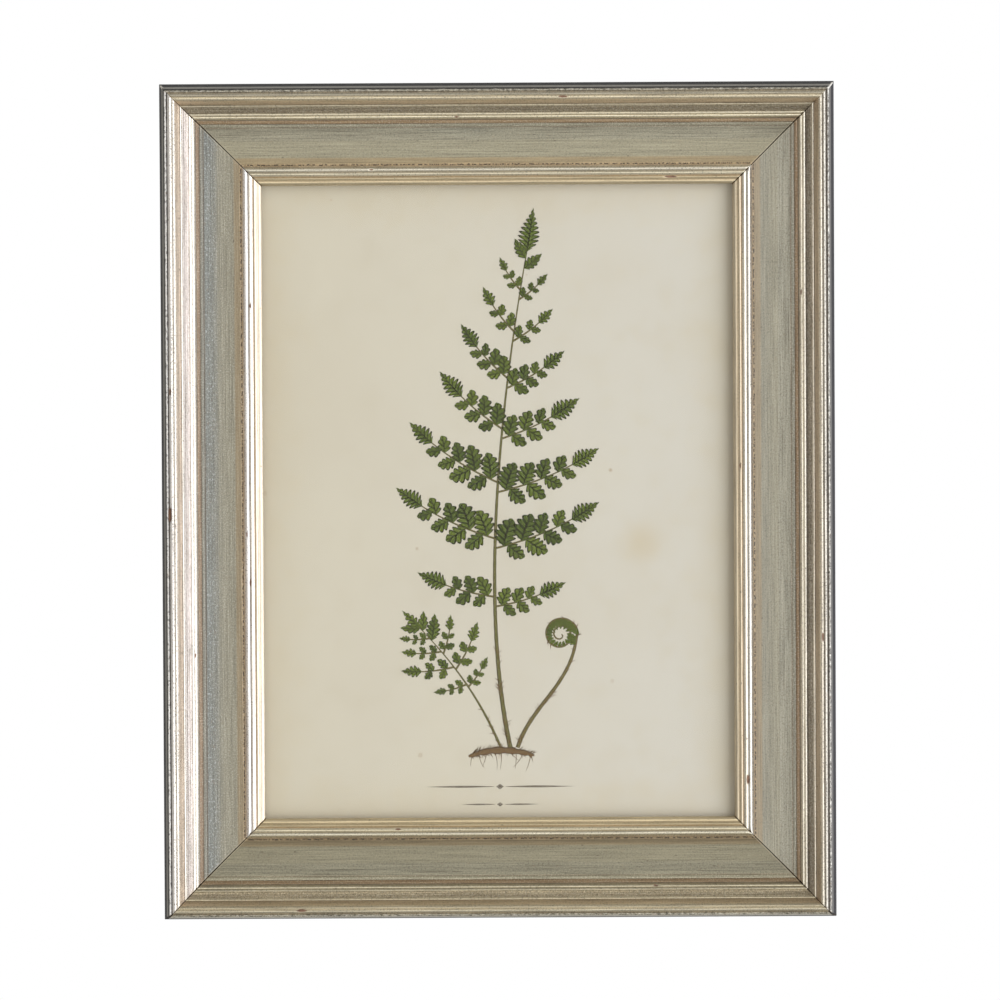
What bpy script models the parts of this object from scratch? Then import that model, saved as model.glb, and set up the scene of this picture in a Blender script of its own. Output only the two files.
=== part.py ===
"""A small framed botanical print, hung on a wall by a sawtooth hanger.

Four mitred lengths of scoop moulding stand round a pane of glass, a printed sheet and a backing board. Flexible steel
points hold the board in the rabbet, V nails pressed in from behind hold the mitres, and a sawtooth hanger and two
bumpers on the back meet the wall.

Frame: +X to the viewer's right, +Z up, the picture faces -Y. The origin is on the wall, at the middle notch of the
hanger, where the wall's nail bears. Lengths below are in millimetres and are turned to metres when a mesh is made.
"""

import math

import bmesh
import bpy
from mathutils import Vector

for old in list(bpy.data.objects):
    bpy.data.objects.remove(old, do_unlink=True)

MM = 0.001
GAP = 0.3  # between pieces that touch

# The frame
OUTER_W = 204.6
OUTER_H = 254.0
FACE_W = 31.0  # moulding, from the outer edge to the sight edge
DEPTH = 22.0  # moulding, from its back to its crest, near the outer edge
RABBET_W = 6.0
RABBET_D = 10.5
MITRE_GAP = 0.3

# What lies in the rabbet
SHEET_W = 152.4
SHEET_H = 203.2
GLASS_T = 2.0
SHEET_T = 0.3
BOARD_T = 3.0

# Wall side
STAND_OFF = 2.3  # from the wall to the moulding's back
HANGER_L = 45.0
HANGER_H = 9.0
HANGER_T = 0.8
HANGER_RISE = 0.9
HANGER_FROM_TOP = 8.5  # outer top edge to the hanger's upper edge
TOOTH_PITCH = 2.4
TOOTH_H = 1.6
TEETH = 9
BUMPER_R = 4.75
BUMPER_T = 2.0

# Flexible points
POINT_W = 5.5
POINT_T = 0.5
POINT_IN = 5.0  # in the wood
POINT_OUT = 8.5  # over the board
POINT_AT_X = 38.0
POINT_AT_Z = 55.0

# V nails
V_ARM = 5.0
V_T = 0.5
V_DEEP = 7.0
V_FROM_EDGE = 8.0

NOTCH_FROM_TOP = HANGER_FROM_TOP + HANGER_H - TOOTH_H
Z_TOP = NOTCH_FROM_TOP
Z_MID = Z_TOP - OUTER_H / 2
HALF_W = OUTER_W / 2
HALF_H = OUTER_H / 2


# ---------------------------------------------------------------- moulding profile
def curve(a0, h0, a1, h1, lift, n):
    """Points after (a0, h0) up to (a1, h1), on a sine arch that stands lift above the chord."""
    return [
        (a0 + (a1 - a0) * i / n, h0 + (h1 - h0) * i / n + lift * math.sin(math.pi * i / n))
        for i in range(1, n + 1)
    ]


def bowl(a0, h0, a1, h1, sag, n):
    """Points after (a0, h0) up to (a1, h1), on a hollow that sinks sag under the chord."""
    return [
        (a0 + (a1 - a0) * i / n, h0 + (h1 - h0) * i / n - 4 * sag * i / n * (1 - i / n))
        for i in range(1, n + 1)
    ]


def profile():
    """The section of the moulding: a is the distance in from the outer edge, h the height over its back."""
    p = [(0.0, 0.0), (0.0, 5.5), (1.2, 15.4), (1.34, 15.75), (2.0, 20.9)]  # outer side, with a small ledge
    p += [(2.08, 21.3), (2.25, 21.55), (2.6, 21.62), (2.75, 21.5), (2.88, 21.25), (3.0, 21.35)]  # rim, then a groove
    p += curve(3.0, 21.35, 4.36, 21.55, 0.53, 4)  # the crest, of two reeds
    p += curve(4.36, 21.55, 5.4, 21.1, 0.3, 3)
    p += [(5.5, 20.95), (6.55, 18.8), (6.68, 18.6)]  # the slope inside the crest
    p += curve(6.68, 18.6, 7.38, 18.25, 0.28, 3)  # a fine reed
    p += curve(7.38, 18.25, 8.08, 17.55, 0.07, 2)  # three small steps
    p += curve(8.08, 17.55, 8.72, 16.95, 0.07, 2)
    p += curve(8.72, 16.95, 9.22, 16.45, 0.05, 2)
    p += curve(9.22, 16.45, 10.2, 15.85, 0.32, 3)  # a double reed
    p += curve(10.2, 15.85, 11.12, 15.0, 0.3, 3)
    p += [(11.28, 14.2)]
    p += curve(11.28, 14.2, 12.32, 13.5, 0.16, 3)  # two flat reeds, down to the scoop
    p += [(12.42, 13.3)]
    p += curve(12.42, 13.3, 13.38, 12.9, 0.14, 3)
    p += [(13.47, 12.74), (13.57, 12.74)]
    p += bowl(13.57, 12.74, 25.1, 12.55, 0.95, 10)  # the scoop
    p += [(25.22, 12.4), (25.3, 12.4)]
    p += curve(25.3, 12.4, 26.75, 13.0, 0.42, 5)  # lip: two beads, a small reed and the slope to the sight edge
    p += [(26.84, 12.9)]
    p += curve(26.84, 12.9, 28.3, 12.75, 0.44, 5)
    p += [(28.42, 12.56), (28.5, 12.56)]
    p += curve(28.5, 12.56, 29.42, 12.35, 0.28, 3)
    p += [(29.6, 12.15), (29.8, 12.0)]
    p += curve(29.8, 12.0, FACE_W, 11.4, 0.2, 3)
    p += [(FACE_W, RABBET_D), (FACE_W - RABBET_W, RABBET_D), (FACE_W - RABBET_W, 0.0)]
    return p


def y_of(h):
    return -(STAND_OFF + h)


def on_rail(side, a, h, s):
    """A point of a rail: a in from the outer edge, h over the back, s along the rail from its middle."""
    if side == "top":
        return (s, y_of(h), Z_TOP - a)
    if side == "bottom":
        return (-s, y_of(h), Z_TOP - OUTER_H + a)
    if side == "left":
        return (-HALF_W + a, y_of(h), Z_MID + s)
    return (HALF_W - a, y_of(h), Z_MID - s)


def rail_half_length(side, a):
    half = HALF_W if side in ("top", "bottom") else HALF_H
    return half - a - MITRE_GAP / 2 * math.sqrt(2)


# ---------------------------------------------------------------- mesh helpers
def finish_mesh(name, bm, smooth_deg=None):
    bmesh.ops.recalc_face_normals(bm, faces=bm.faces[:])
    for v in bm.verts:
        v.co *= MM
    mesh = bpy.data.meshes.new(name)
    bm.to_mesh(mesh)
    bm.free()
    if smooth_deg is not None:
        mesh.shade_smooth()
        mesh.set_sharp_from_angle(angle=math.radians(smooth_deg))
    obj = bpy.data.objects.new(name, mesh)
    bpy.context.scene.collection.objects.link(obj)
    return obj


def add_prism(bm, ring0, ring1):
    """A closed prism between two rings of the same length."""
    v0 = [bm.verts.new(Vector(p)) for p in ring0]
    v1 = [bm.verts.new(Vector(p)) for p in ring1]
    n = len(v0)
    bm.faces.new(v0)
    bm.faces.new(list(reversed(v1)))
    for i in range(n):
        j = (i + 1) % n
        bm.faces.new((v0[j], v0[i], v1[i], v1[j]))


def add_box(bm, lo, hi):
    ring = [(lo[0], lo[2]), (hi[0], lo[2]), (hi[0], hi[2]), (lo[0], hi[2])]
    add_prism(bm, [(x, lo[1], z) for x, z in ring], [(x, hi[1], z) for x, z in ring])


def add_turned(bm, centre, section, n):
    """A round piece about an axis along Y. section is (radius, y) from its first cap to its last."""
    rings = []
    for r, y in section:
        rings.append(
            [
                bm.verts.new(
                    Vector(
                        (
                            centre[0] + r * math.cos(2 * math.pi * k / n),
                            y,
                            centre[1] + r * math.sin(2 * math.pi * k / n),
                        )
                    )
                )
                for k in range(n)
            ]
        )
    bm.faces.new(rings[0])
    bm.faces.new(list(reversed(rings[-1])))
    for lower, upper in zip(rings, rings[1:]):
        for k in range(n):
            m = (k + 1) % n
            bm.faces.new((lower[m], lower[k], upper[k], upper[m]))


def material(name, colour, roughness, metallic=0.0, transmission=0.0):
    mat = bpy.data.materials.new(name)
    mat.use_nodes = True
    shader = mat.node_tree.nodes["Principled BSDF"]
    shader.inputs["Base Color"].default_value = (*colour, 1.0)
    shader.inputs["Roughness"].default_value = roughness
    shader.inputs["Metallic"].default_value = metallic
    shader.inputs["Transmission Weight"].default_value = transmission
    mat.diffuse_color = (*colour, 1.0)
    return mat


def give(obj, mat):
    obj.data.materials.append(mat)
    return obj


def cut(obj, cutter):
    cutter.hide_render = True
    cutter.display_type = "WIRE"
    mod = obj.modifiers.new("cut", "BOOLEAN")
    mod.operation = "DIFFERENCE"
    mod.solver = "EXACT"
    mod.object = cutter


LEAF = (0.56, 0.52, 0.43)
STEEL = (0.55, 0.56, 0.57)

# ---------------------------------------------------------------- flexible points
POINT_OUTLINE = [
    (-POINT_IN, -0.6),
    (-POINT_IN, 0.6),
    (-POINT_IN + 2.2, POINT_W / 2),
    (POINT_OUT - 1.5, POINT_W / 2),
    (POINT_OUT, POINT_W / 2 - 1.5),
    (POINT_OUT, -POINT_W / 2 + 1.5),
    (POINT_OUT - 1.5, -POINT_W / 2),
    (-POINT_IN + 2.2, -POINT_W / 2),
]
BOARD_BACK = RABBET_D - GAP - GLASS_T - GAP - SHEET_T - GAP - BOARD_T
POINT_H1 = BOARD_BACK - GAP
POINT_H0 = POINT_H1 - POINT_T


def point_places(side):
    reach = POINT_AT_X if side in ("top", "bottom") else POINT_AT_Z
    return (-reach, reach)


def add_point(bm, side, s):
    wall = FACE_W - RABBET_W
    lower = [on_rail(side, wall + u, POINT_H0, s + w) for u, w in POINT_OUTLINE]
    upper = [on_rail(side, wall + u, POINT_H1, s + w) for u, w in POINT_OUTLINE]
    add_prism(bm, lower, upper)


def add_point_slot(bm, side, s):
    """The slot that the point has pressed into the rabbet's wall."""
    wall = FACE_W - RABBET_W
    half = POINT_W / 2 + GAP
    ring = [
        (wall - POINT_IN - GAP, -half),
        (wall - POINT_IN - GAP, half),
        (wall + 0.5, half),
        (wall + 0.5, -half),
    ]
    lower = [on_rail(side, a, POINT_H0 - GAP, s + w) for a, w in ring]
    upper = [on_rail(side, a, POINT_H1 + GAP, s + w) for a, w in ring]
    add_prism(bm, lower, upper)


# ---------------------------------------------------------------- V nails
def v_ring(sx, sz, grow, h):
    """The nail's L section at a corner. sx and sz are the corner's signs, and its arms run inwards along X and Z."""
    lo = -grow
    hi = V_T + grow
    end = V_ARM + grow
    outline = [(lo, lo), (end, lo), (end, hi), (hi, hi), (hi, end), (lo, end)]
    return [
        (
            sx * (HALF_W - V_FROM_EDGE - u),
            y_of(h),
            Z_MID + sz * (HALF_H - V_FROM_EDGE - w),
        )
        for u, w in outline
    ]


def add_v_nail(bm, sx, sz):
    add_prism(bm, v_ring(sx, sz, 0.0, 0.1), v_ring(sx, sz, 0.0, V_DEEP))


def add_v_pocket(bm, sx, sz):
    add_prism(bm, v_ring(sx, sz, GAP, -1.0), v_ring(sx, sz, GAP, V_DEEP + GAP))


CORNERS = {
    "top_left": (-1, 1),
    "top_right": (1, 1),
    "bottom_left": (-1, -1),
    "bottom_right": (1, -1),
}

# ---------------------------------------------------------------- hanger
HANGER_Z1 = Z_TOP - HANGER_FROM_TOP
HANGER_Z0 = HANGER_Z1 - HANGER_H
TAB_Y0 = -(STAND_OFF - GAP)  # tab face next to the wood
TAB_Y1 = TAB_Y0 + HANGER_T
NAIL_X = 18.75
NAIL_Z = (HANGER_Z0 + HANGER_Z1) / 2
NAIL_R = 0.7
NAIL_HEAD_R = 1.9
NAIL_DEEP = 8.0


def add_hanger_blank(bm):
    half = HANGER_L / 2
    line = [(-half, 0.0), (-15.0, 0.0), (-13.4, HANGER_RISE), (13.4, HANGER_RISE), (15.0, 0.0), (half, 0.0)]
    near = [(x, TAB_Y0 + y) for x, y in line]
    far = [(x, TAB_Y1 + y) for x, y in line]
    ring = near + far[::-1]
    add_prism(bm, [(x, y, HANGER_Z0) for x, y in ring], [(x, y, HANGER_Z1) for x, y in ring])


def add_hanger_cutters(bm):
    """Notches along the lower edge, and the two nail holes."""
    for k in range(TEETH):
        x = (k - (TEETH - 1) / 2) * TOOTH_PITCH
        ring = [
            (x - TOOTH_PITCH / 2 + 0.15, HANGER_Z0 - 0.5),
            (x + TOOTH_PITCH / 2 - 0.15, HANGER_Z0 - 0.5),
            (x + TOOTH_PITCH / 2 - 0.15, HANGER_Z0),
            (x, HANGER_Z0 + TOOTH_H),
            (x - TOOTH_PITCH / 2 + 0.15, HANGER_Z0),
        ]
        add_prism(bm, [(u, TAB_Y0 - 1, w) for u, w in ring], [(u, TAB_Y1 + 3, w) for u, w in ring])
    for s in (-1, 1):
        r = NAIL_R + GAP
        add_turned(bm, (s * NAIL_X, NAIL_Z), [(r, TAB_Y0 - 1), (r, TAB_Y1 + 1)], 16)


# ---------------------------------------------------------------- rails
wood_leaf = {}
for side in ("top", "bottom", "left", "right"):
    section = profile()
    body = bmesh.new()
    add_prism(
        body,
        [on_rail(side, a, h, -rail_half_length(side, a)) for a, h in section],
        [on_rail(side, a, h, rail_half_length(side, a)) for a, h in section],
    )
    rail = finish_mesh("rail_" + side, body, smooth_deg=40)
    give(rail, material("leaf_" + side, LEAF, 0.45, 0.6))

    pockets = bmesh.new()
    for s in point_places(side):
        add_point_slot(pockets, side, s)
    for corner, (sx, sz) in CORNERS.items():
        if side in corner:
            add_v_pocket(pockets, sx, sz)
    if side == "top":
        for s in (-1, 1):
            r = NAIL_R + GAP
            add_turned(
                pockets,
                (s * NAIL_X, NAIL_Z),
                [(r, y_of(NAIL_DEEP + GAP)), (r, y_of(-1.0))],
                16,
            )
    cut(rail, finish_mesh("cut_" + side, pockets))

# ---------------------------------------------------------------- glass, sheet and board
heights = RABBET_D - GAP
for name, thick, mat in (
    ("glass_pane", GLASS_T, material("picture_glass", (0.93, 0.96, 0.95), 0.03, transmission=1.0)),
    ("print_sheet", SHEET_T, material("aged_paper", (0.68, 0.62, 0.49), 0.85)),
    ("backing_board", BOARD_T, material("hardboard", (0.24, 0.13, 0.06), 0.7)),
):
    slab = bmesh.new()
    add_box(
        slab,
        (-SHEET_W / 2, y_of(heights), Z_MID - SHEET_H / 2),
        (SHEET_W / 2, y_of(heights - thick), Z_MID + SHEET_H / 2),
    )
    give(finish_mesh(name, slab), mat)
    heights -= thick + GAP

# ---------------------------------------------------------------- small steel
for side in ("top", "bottom", "left", "right"):
    for k, s in enumerate(point_places(side), 1):
        tab = bmesh.new()
        add_point(tab, side, s)
        name = f"point_{side}_{k}"
        give(finish_mesh(name, tab), material(name + "_steel", STEEL, 0.4, 1.0))

for corner, (sx, sz) in CORNERS.items():
    nail = bmesh.new()
    add_v_nail(nail, sx, sz)
    name = "v_nail_" + corner
    give(finish_mesh(name, nail), material(name + "_steel", (0.42, 0.43, 0.44), 0.45, 1.0))

blank = bmesh.new()
add_hanger_blank(blank)
hanger = finish_mesh("sawtooth_hanger", blank)
give(hanger, material("hanger_steel", (0.62, 0.58, 0.45), 0.35, 1.0))
teeth = bmesh.new()
add_hanger_cutters(teeth)
cut(hanger, finish_mesh("cut_hanger", teeth))

for side, s in (("left", -1), ("right", 1)):
    nail = bmesh.new()
    head = TAB_Y1 + GAP
    add_turned(
        nail,
        (s * NAIL_X, NAIL_Z),
        [
            (0.12, y_of(NAIL_DEEP)),
            (NAIL_R, y_of(NAIL_DEEP - 1.6)),
            (NAIL_R, head),
            (NAIL_HEAD_R, head),
            (NAIL_HEAD_R * 0.86, head + 0.35),
            (NAIL_HEAD_R * 0.45, head + 0.5),
        ],
        16,
    )
    name = "hanger_nail_" + side
    give(finish_mesh(name, nail, smooth_deg=40), material(name + "_steel", (0.62, 0.58, 0.45), 0.35, 1.0))

# ---------------------------------------------------------------- bumpers
BUMPER_X = HALF_W - 22.0
BUMPER_Z = Z_TOP - OUTER_H + 13.0
for side, s in (("left", -1), ("right", 1)):
    pad = bmesh.new()
    base = -(STAND_OFF - GAP)
    add_turned(
        pad,
        (s * BUMPER_X, BUMPER_Z),
        [
            (BUMPER_R, base),
            (BUMPER_R, base + 0.7),
            (BUMPER_R * 0.94, base + 1.25),
            (BUMPER_R * 0.78, base + 1.7),
            (BUMPER_R * 0.5, base + 1.95),
            (BUMPER_R * 0.34, base + BUMPER_T),
        ],
        24,
    )
    name = "bumper_" + side
    give(finish_mesh(name, pad, smooth_deg=40), material(name + "_rubber", (0.05, 0.05, 0.055), 0.6))
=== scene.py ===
import math
import random

import bmesh
import bpy
import numpy as np
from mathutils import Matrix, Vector


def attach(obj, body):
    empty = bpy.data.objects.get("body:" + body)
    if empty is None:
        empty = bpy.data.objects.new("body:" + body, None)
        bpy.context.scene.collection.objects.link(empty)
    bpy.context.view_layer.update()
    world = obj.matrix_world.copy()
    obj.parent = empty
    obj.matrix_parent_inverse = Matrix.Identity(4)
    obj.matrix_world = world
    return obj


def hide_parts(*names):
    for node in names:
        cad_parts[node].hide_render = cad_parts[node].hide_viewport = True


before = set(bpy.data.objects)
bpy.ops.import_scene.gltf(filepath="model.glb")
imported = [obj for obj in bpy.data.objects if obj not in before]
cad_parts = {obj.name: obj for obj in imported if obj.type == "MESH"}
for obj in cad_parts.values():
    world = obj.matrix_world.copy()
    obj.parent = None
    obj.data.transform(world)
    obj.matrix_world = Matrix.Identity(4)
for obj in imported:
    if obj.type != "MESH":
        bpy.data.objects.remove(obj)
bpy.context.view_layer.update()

# Lengths are in millimetres until a mesh is made, as in the part. a is the distance in from the frame's outer edge,
# h the height over the moulding's back, s the place along a rail from its middle.
MM = 0.001
OUTER_W, OUTER_H = 204.6, 254.0
HALF_W, HALF_H = OUTER_W / 2, OUTER_H / 2
FACE_W = 31.0
RABBET_W, RABBET_D = 6.0, 10.5
STAND_OFF = 2.3
GAP = 0.3
Z_TOP = 15.9
Z_MID = Z_TOP - HALF_H
SHEET_FRONT = RABBET_D - GAP - 2.0 - GAP


def srgb(r, g, b):
    """A colour given in display values, as the renderer's own linear values."""
    out = []
    for c in (r, g, b):
        c /= 255.0
        out.append(c / 12.92 if c <= 0.04045 else ((c + 0.055) / 1.055) ** 2.4)
    return tuple(out)


# ------------------------------------------------------------------------------------------------ seeded noise
def hash01(i, j, seed):
    n = (i.astype(np.int64) * 374761393 + j.astype(np.int64) * 668265263 + seed * 974711) & 0xFFFFFFFF
    n = ((n ^ (n >> 13)) * 1274126177) & 0xFFFFFFFF
    n = (n ^ (n >> 16)) & 0xFFFFFFFF
    return n / 4294967296.0


def vnoise(x, y, seed):
    """Smooth noise from -1 to 1 at the points (x, y)."""
    x, y = np.asarray(x, float), np.asarray(y, float)
    i, j = np.floor(x), np.floor(y)
    u, v = x - i, y - j
    u, v = u * u * (3 - 2 * u), v * v * (3 - 2 * v)
    p = hash01(i, j, seed) * (1 - u) + hash01(i + 1, j, seed) * u
    q = hash01(i, j + 1, seed) * (1 - u) + hash01(i + 1, j + 1, seed) * u
    return 2 * (p * (1 - v) + q * v) - 1


def step01(x, lo, hi):
    t = np.clip((np.asarray(x, float) - lo) / (hi - lo), 0, 1)
    return t * t * (3 - 2 * t)


# ------------------------------------------------------------------------------------------------ material helper
class Nodes:
    """A small material builder: every method makes nodes and gives back the socket to read."""

    def __init__(self, name):
        self.mat = bpy.data.materials.new(name)
        self.mat.use_nodes = True
        self.tree = self.mat.node_tree
        self.shader = self.tree.nodes["Principled BSDF"]
        self.out = self.tree.nodes["Material Output"]

    def node(self, kind, **props):
        n = self.tree.nodes.new(kind)
        for k, v in props.items():
            setattr(n, k, v)
        return n

    def put(self, socket, value):
        if isinstance(value, bpy.types.NodeSocket):
            self.tree.links.new(value, socket)
        elif value is not None:
            if hasattr(socket.default_value, "__len__") and not hasattr(value, "__len__"):
                value = (value,) * len(socket.default_value)
            if hasattr(value, "__len__") and len(socket.default_value) == 4 and len(value) == 3:
                value = (*value, 1.0)
            socket.default_value = value

    def set(self, **inputs):
        for k, v in inputs.items():
            self.put(self.shader.inputs[k.replace("_", " ")], v)

    def math(self, op, a, b=None, c=None, clamp=False):
        n = self.node("ShaderNodeMath", operation=op, use_clamp=clamp)
        for i, v in enumerate((a, b, c)):
            if v is not None:
                self.put(n.inputs[i], v)
        return n.outputs[0]

    def add(self, a, b):
        return self.math("ADD", a, b)

    def mul(self, a, b):
        return self.math("MULTIPLY", a, b)

    def vmul(self, v, k):
        n = self.node("ShaderNodeVectorMath", operation="MULTIPLY")
        self.put(n.inputs[0], v)
        self.put(n.inputs[1], k)
        return n.outputs[0]

    def split(self, v):
        n = self.node("ShaderNodeSeparateXYZ")
        self.put(n.inputs[0], v)
        return n.outputs

    def join(self, x, y, z=0.0):
        n = self.node("ShaderNodeCombineXYZ")
        for i, v in enumerate((x, y, z)):
            self.put(n.inputs[i], v)
        return n.outputs[0]

    def noise(self, vec, scale=1.0, detail=2.0, rough=0.5, distort=0.0, dims="3D", w=None):
        n = self.node("ShaderNodeTexNoise", noise_dimensions=dims)
        if vec is not None:
            self.put(n.inputs["Vector"], vec)
        if w is not None:
            self.put(n.inputs["W"], w)
        self.put(n.inputs["Scale"], scale)
        self.put(n.inputs["Detail"], detail)
        self.put(n.inputs["Roughness"], rough)
        self.put(n.inputs["Distortion"], distort)
        return n.outputs["Fac"]

    def voronoi(self, vec, scale=1.0, randomness=1.0, feature="F1"):
        n = self.node("ShaderNodeTexVoronoi", feature=feature)
        self.put(n.inputs["Vector"], vec)
        self.put(n.inputs["Scale"], scale)
        self.put(n.inputs["Randomness"], randomness)
        return n.outputs

    def fit(self, x, lo, hi, to_lo=0.0, to_hi=1.0, smooth=True):
        n = self.node("ShaderNodeMapRange", interpolation_type="SMOOTHSTEP" if smooth else "LINEAR")
        self.put(n.inputs["Value"], x)
        for k, v in zip(("From Min", "From Max", "To Min", "To Max"), (lo, hi, to_lo, to_hi)):
            self.put(n.inputs[k], v)
        return n.outputs["Result"]

    def mix(self, fac, a, b, blend="MIX"):
        n = self.node("ShaderNodeMix", data_type="RGBA", blend_type=blend)
        self.put(n.inputs[0], fac)
        self.put(n.inputs[6], a)
        self.put(n.inputs[7], b)
        return n.outputs[2]

    def mixf(self, fac, a, b):
        n = self.node("ShaderNodeMix", data_type="FLOAT")
        self.put(n.inputs[0], fac)
        self.put(n.inputs[2], a)
        self.put(n.inputs[3], b)
        return n.outputs[0]

    def ramp(self, fac, stops, mode="LINEAR"):
        n = self.node("ShaderNodeValToRGB")
        r = n.color_ramp
        r.interpolation = mode
        assert len(stops) <= 32, len(stops)
        while len(r.elements) < len(stops):
            r.elements.new(0.5)
        for e, (p, c) in zip(r.elements, stops):
            e.position = p
            e.color = (*c, 1.0)
        self.put(n.inputs[0], fac)
        return n.outputs[0]

    def bump(self, height, strength, distance, normal=None):
        n = self.node("ShaderNodeBump")
        n.inputs["Strength"].default_value = strength
        n.inputs["Distance"].default_value = distance
        self.put(n.inputs["Height"], height)
        if normal is not None:
            self.put(n.inputs["Normal"], normal)
        return n.outputs["Normal"]

    def uv(self, name):
        n = self.node("ShaderNodeUVMap")
        n.uv_map = name
        return n.outputs[0]

    def attribute(self, name):
        return self.node("ShaderNodeAttribute", attribute_name=name).outputs

    def object_mm(self):
        """The point in the part's frame, in millimetres."""
        return self.vmul(self.node("ShaderNodeTexCoord").outputs["Object"], (1000.0, 1000.0, 1000.0))


# ------------------------------------------------------------------------------------------------ moulding section
def curve(a0, h0, a1, h1, lift, n):
    return [
        (a0 + (a1 - a0) * i / n, h0 + (h1 - h0) * i / n + lift * math.sin(math.pi * i / n))
        for i in range(1, n + 1)
    ]


def bowl(a0, h0, a1, h1, sag, n):
    return [
        (a0 + (a1 - a0) * i / n, h0 + (h1 - h0) * i / n - 4 * sag * i / n * (1 - i / n))
        for i in range(1, n + 1)
    ]


def line(points, start, spacing):
    """Points along straight runs from start through points, about spacing apart."""
    out, last = [], start
    for p in points:
        n = max(1, round(math.dist(last, p) / spacing))
        out += [(last[0] + (p[0] - last[0]) * i / n, last[1] + (p[1] - last[1]) * i / n) for i in range(1, n + 1)]
        last = p
    return out


def fine_section():
    """The part's section with its curves drawn finely. The last two values are where the leafed front ends."""
    p = [(0.0, 0.0)]
    p += line([(0.0, 5.5), (1.2, 15.4)], p[-1], 1.1)
    p += line([(1.34, 15.75), (2.0, 20.9)], p[-1], 0.6)
    p += line([(2.08, 21.3), (2.25, 21.55), (2.6, 21.62), (2.75, 21.5), (2.88, 21.25), (3.0, 21.35)], p[-1], 0.12)
    p += curve(3.0, 21.35, 4.36, 21.55, 0.53, 13)
    p += curve(4.36, 21.55, 5.4, 21.1, 0.3, 9)
    p += line([(5.5, 20.95), (6.55, 18.8), (6.68, 18.6)], p[-1], 0.26)
    p += curve(6.68, 18.6, 7.38, 18.25, 0.28, 7)
    p += curve(7.38, 18.25, 8.08, 17.55, 0.07, 6)
    p += curve(8.08, 17.55, 8.72, 16.95, 0.07, 6)
    p += curve(8.72, 16.95, 9.22, 16.45, 0.05, 5)
    p += curve(9.22, 16.45, 10.2, 15.85, 0.32, 10)
    p += curve(10.2, 15.85, 11.12, 15.0, 0.3, 10)
    p += line([(11.28, 14.2)], p[-1], 0.2)
    p += curve(11.28, 14.2, 12.32, 13.5, 0.16, 8)
    p += line([(12.42, 13.3)], p[-1], 0.15)
    p += curve(12.42, 13.3, 13.38, 12.9, 0.14, 7)
    p += line([(13.47, 12.74), (13.57, 12.74)], p[-1], 0.2)
    p += bowl(13.57, 12.74, 25.1, 12.55, 0.95, 56)
    p += line([(25.22, 12.4), (25.3, 12.4)], p[-1], 0.15)
    p += curve(25.3, 12.4, 26.75, 13.0, 0.42, 13)
    p += line([(26.84, 12.9)], p[-1], 0.15)
    p += curve(26.84, 12.9, 28.3, 12.75, 0.44, 13)
    p += line([(28.42, 12.56), (28.5, 12.56)], p[-1], 0.2)
    p += curve(28.5, 12.56, 29.42, 12.35, 0.28, 8)
    p += line([(29.6, 12.15), (29.8, 12.0)], p[-1], 0.2)
    p += curve(29.8, 12.0, 30.94, 11.45, 0.2, 7)
    p += line([(FACE_W, 11.35), (FACE_W, RABBET_D + 0.1)], p[-1], 0.4)
    front_end = len(p) - 1
    p += [(FACE_W - 0.1, RABBET_D), (FACE_W - RABBET_W, RABBET_D), (FACE_W - RABBET_W, 0.0)]
    return np.array(p), front_end


def on_rail(side, a, h, s):
    y = -(STAND_OFF + h)
    if side == "top":
        return s, y, Z_TOP - a
    if side == "bottom":
        return -s, y, Z_TOP - OUTER_H + a
    if side == "left":
        return -HALF_W + a, y, Z_MID + s
    return HALF_W - a, y, Z_MID - s


# Knocks in the leaf: side, a, s, radius across, radius along, depth
CHIPS = [
    ("left", 27.4, 59.8, 0.55, 0.8, 0.30),
    ("left", 3.1, -3.0, 0.6, 2.6, 0.22),
    ("left", 26.0, -9.5, 0.3, 0.9, 0.16),
    ("left", 27.0, -24.0, 0.3, 1.3, 0.16),
    ("left", 3.4, 34.0, 0.4, 1.2, 0.12),
    ("left", 10.4, -46.0, 0.35, 0.7, 0.12),
    ("right", 27.0, 84.6, 0.5, 1.5, 0.28),
    ("right", 29.1, -10.6, 0.4, 0.8, 0.22),
    ("right", 4.6, 41.0, 0.5, 1.5, 0.14),
    ("right", 10.6, -63.0, 0.35, 1.0, 0.14),
    ("top", 28.9, 52.6, 0.45, 2.3, 0.20),
    ("top", 26.3, -38.0, 0.4, 0.8, 0.18),
    ("top", 4.6, 20.0, 0.4, 1.6, 0.12),
    ("top", 10.5, -12.0, 0.35, 0.7, 0.12),
    ("bottom", 27.8, 31.0, 0.4, 1.1, 0.16),
    ("bottom", 10.6, -47.0, 0.4, 0.9, 0.14),
    ("bottom", 4.0, 60.0, 0.5, 1.8, 0.16),
]
SIDES = ("top", "bottom", "left", "right")


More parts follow.
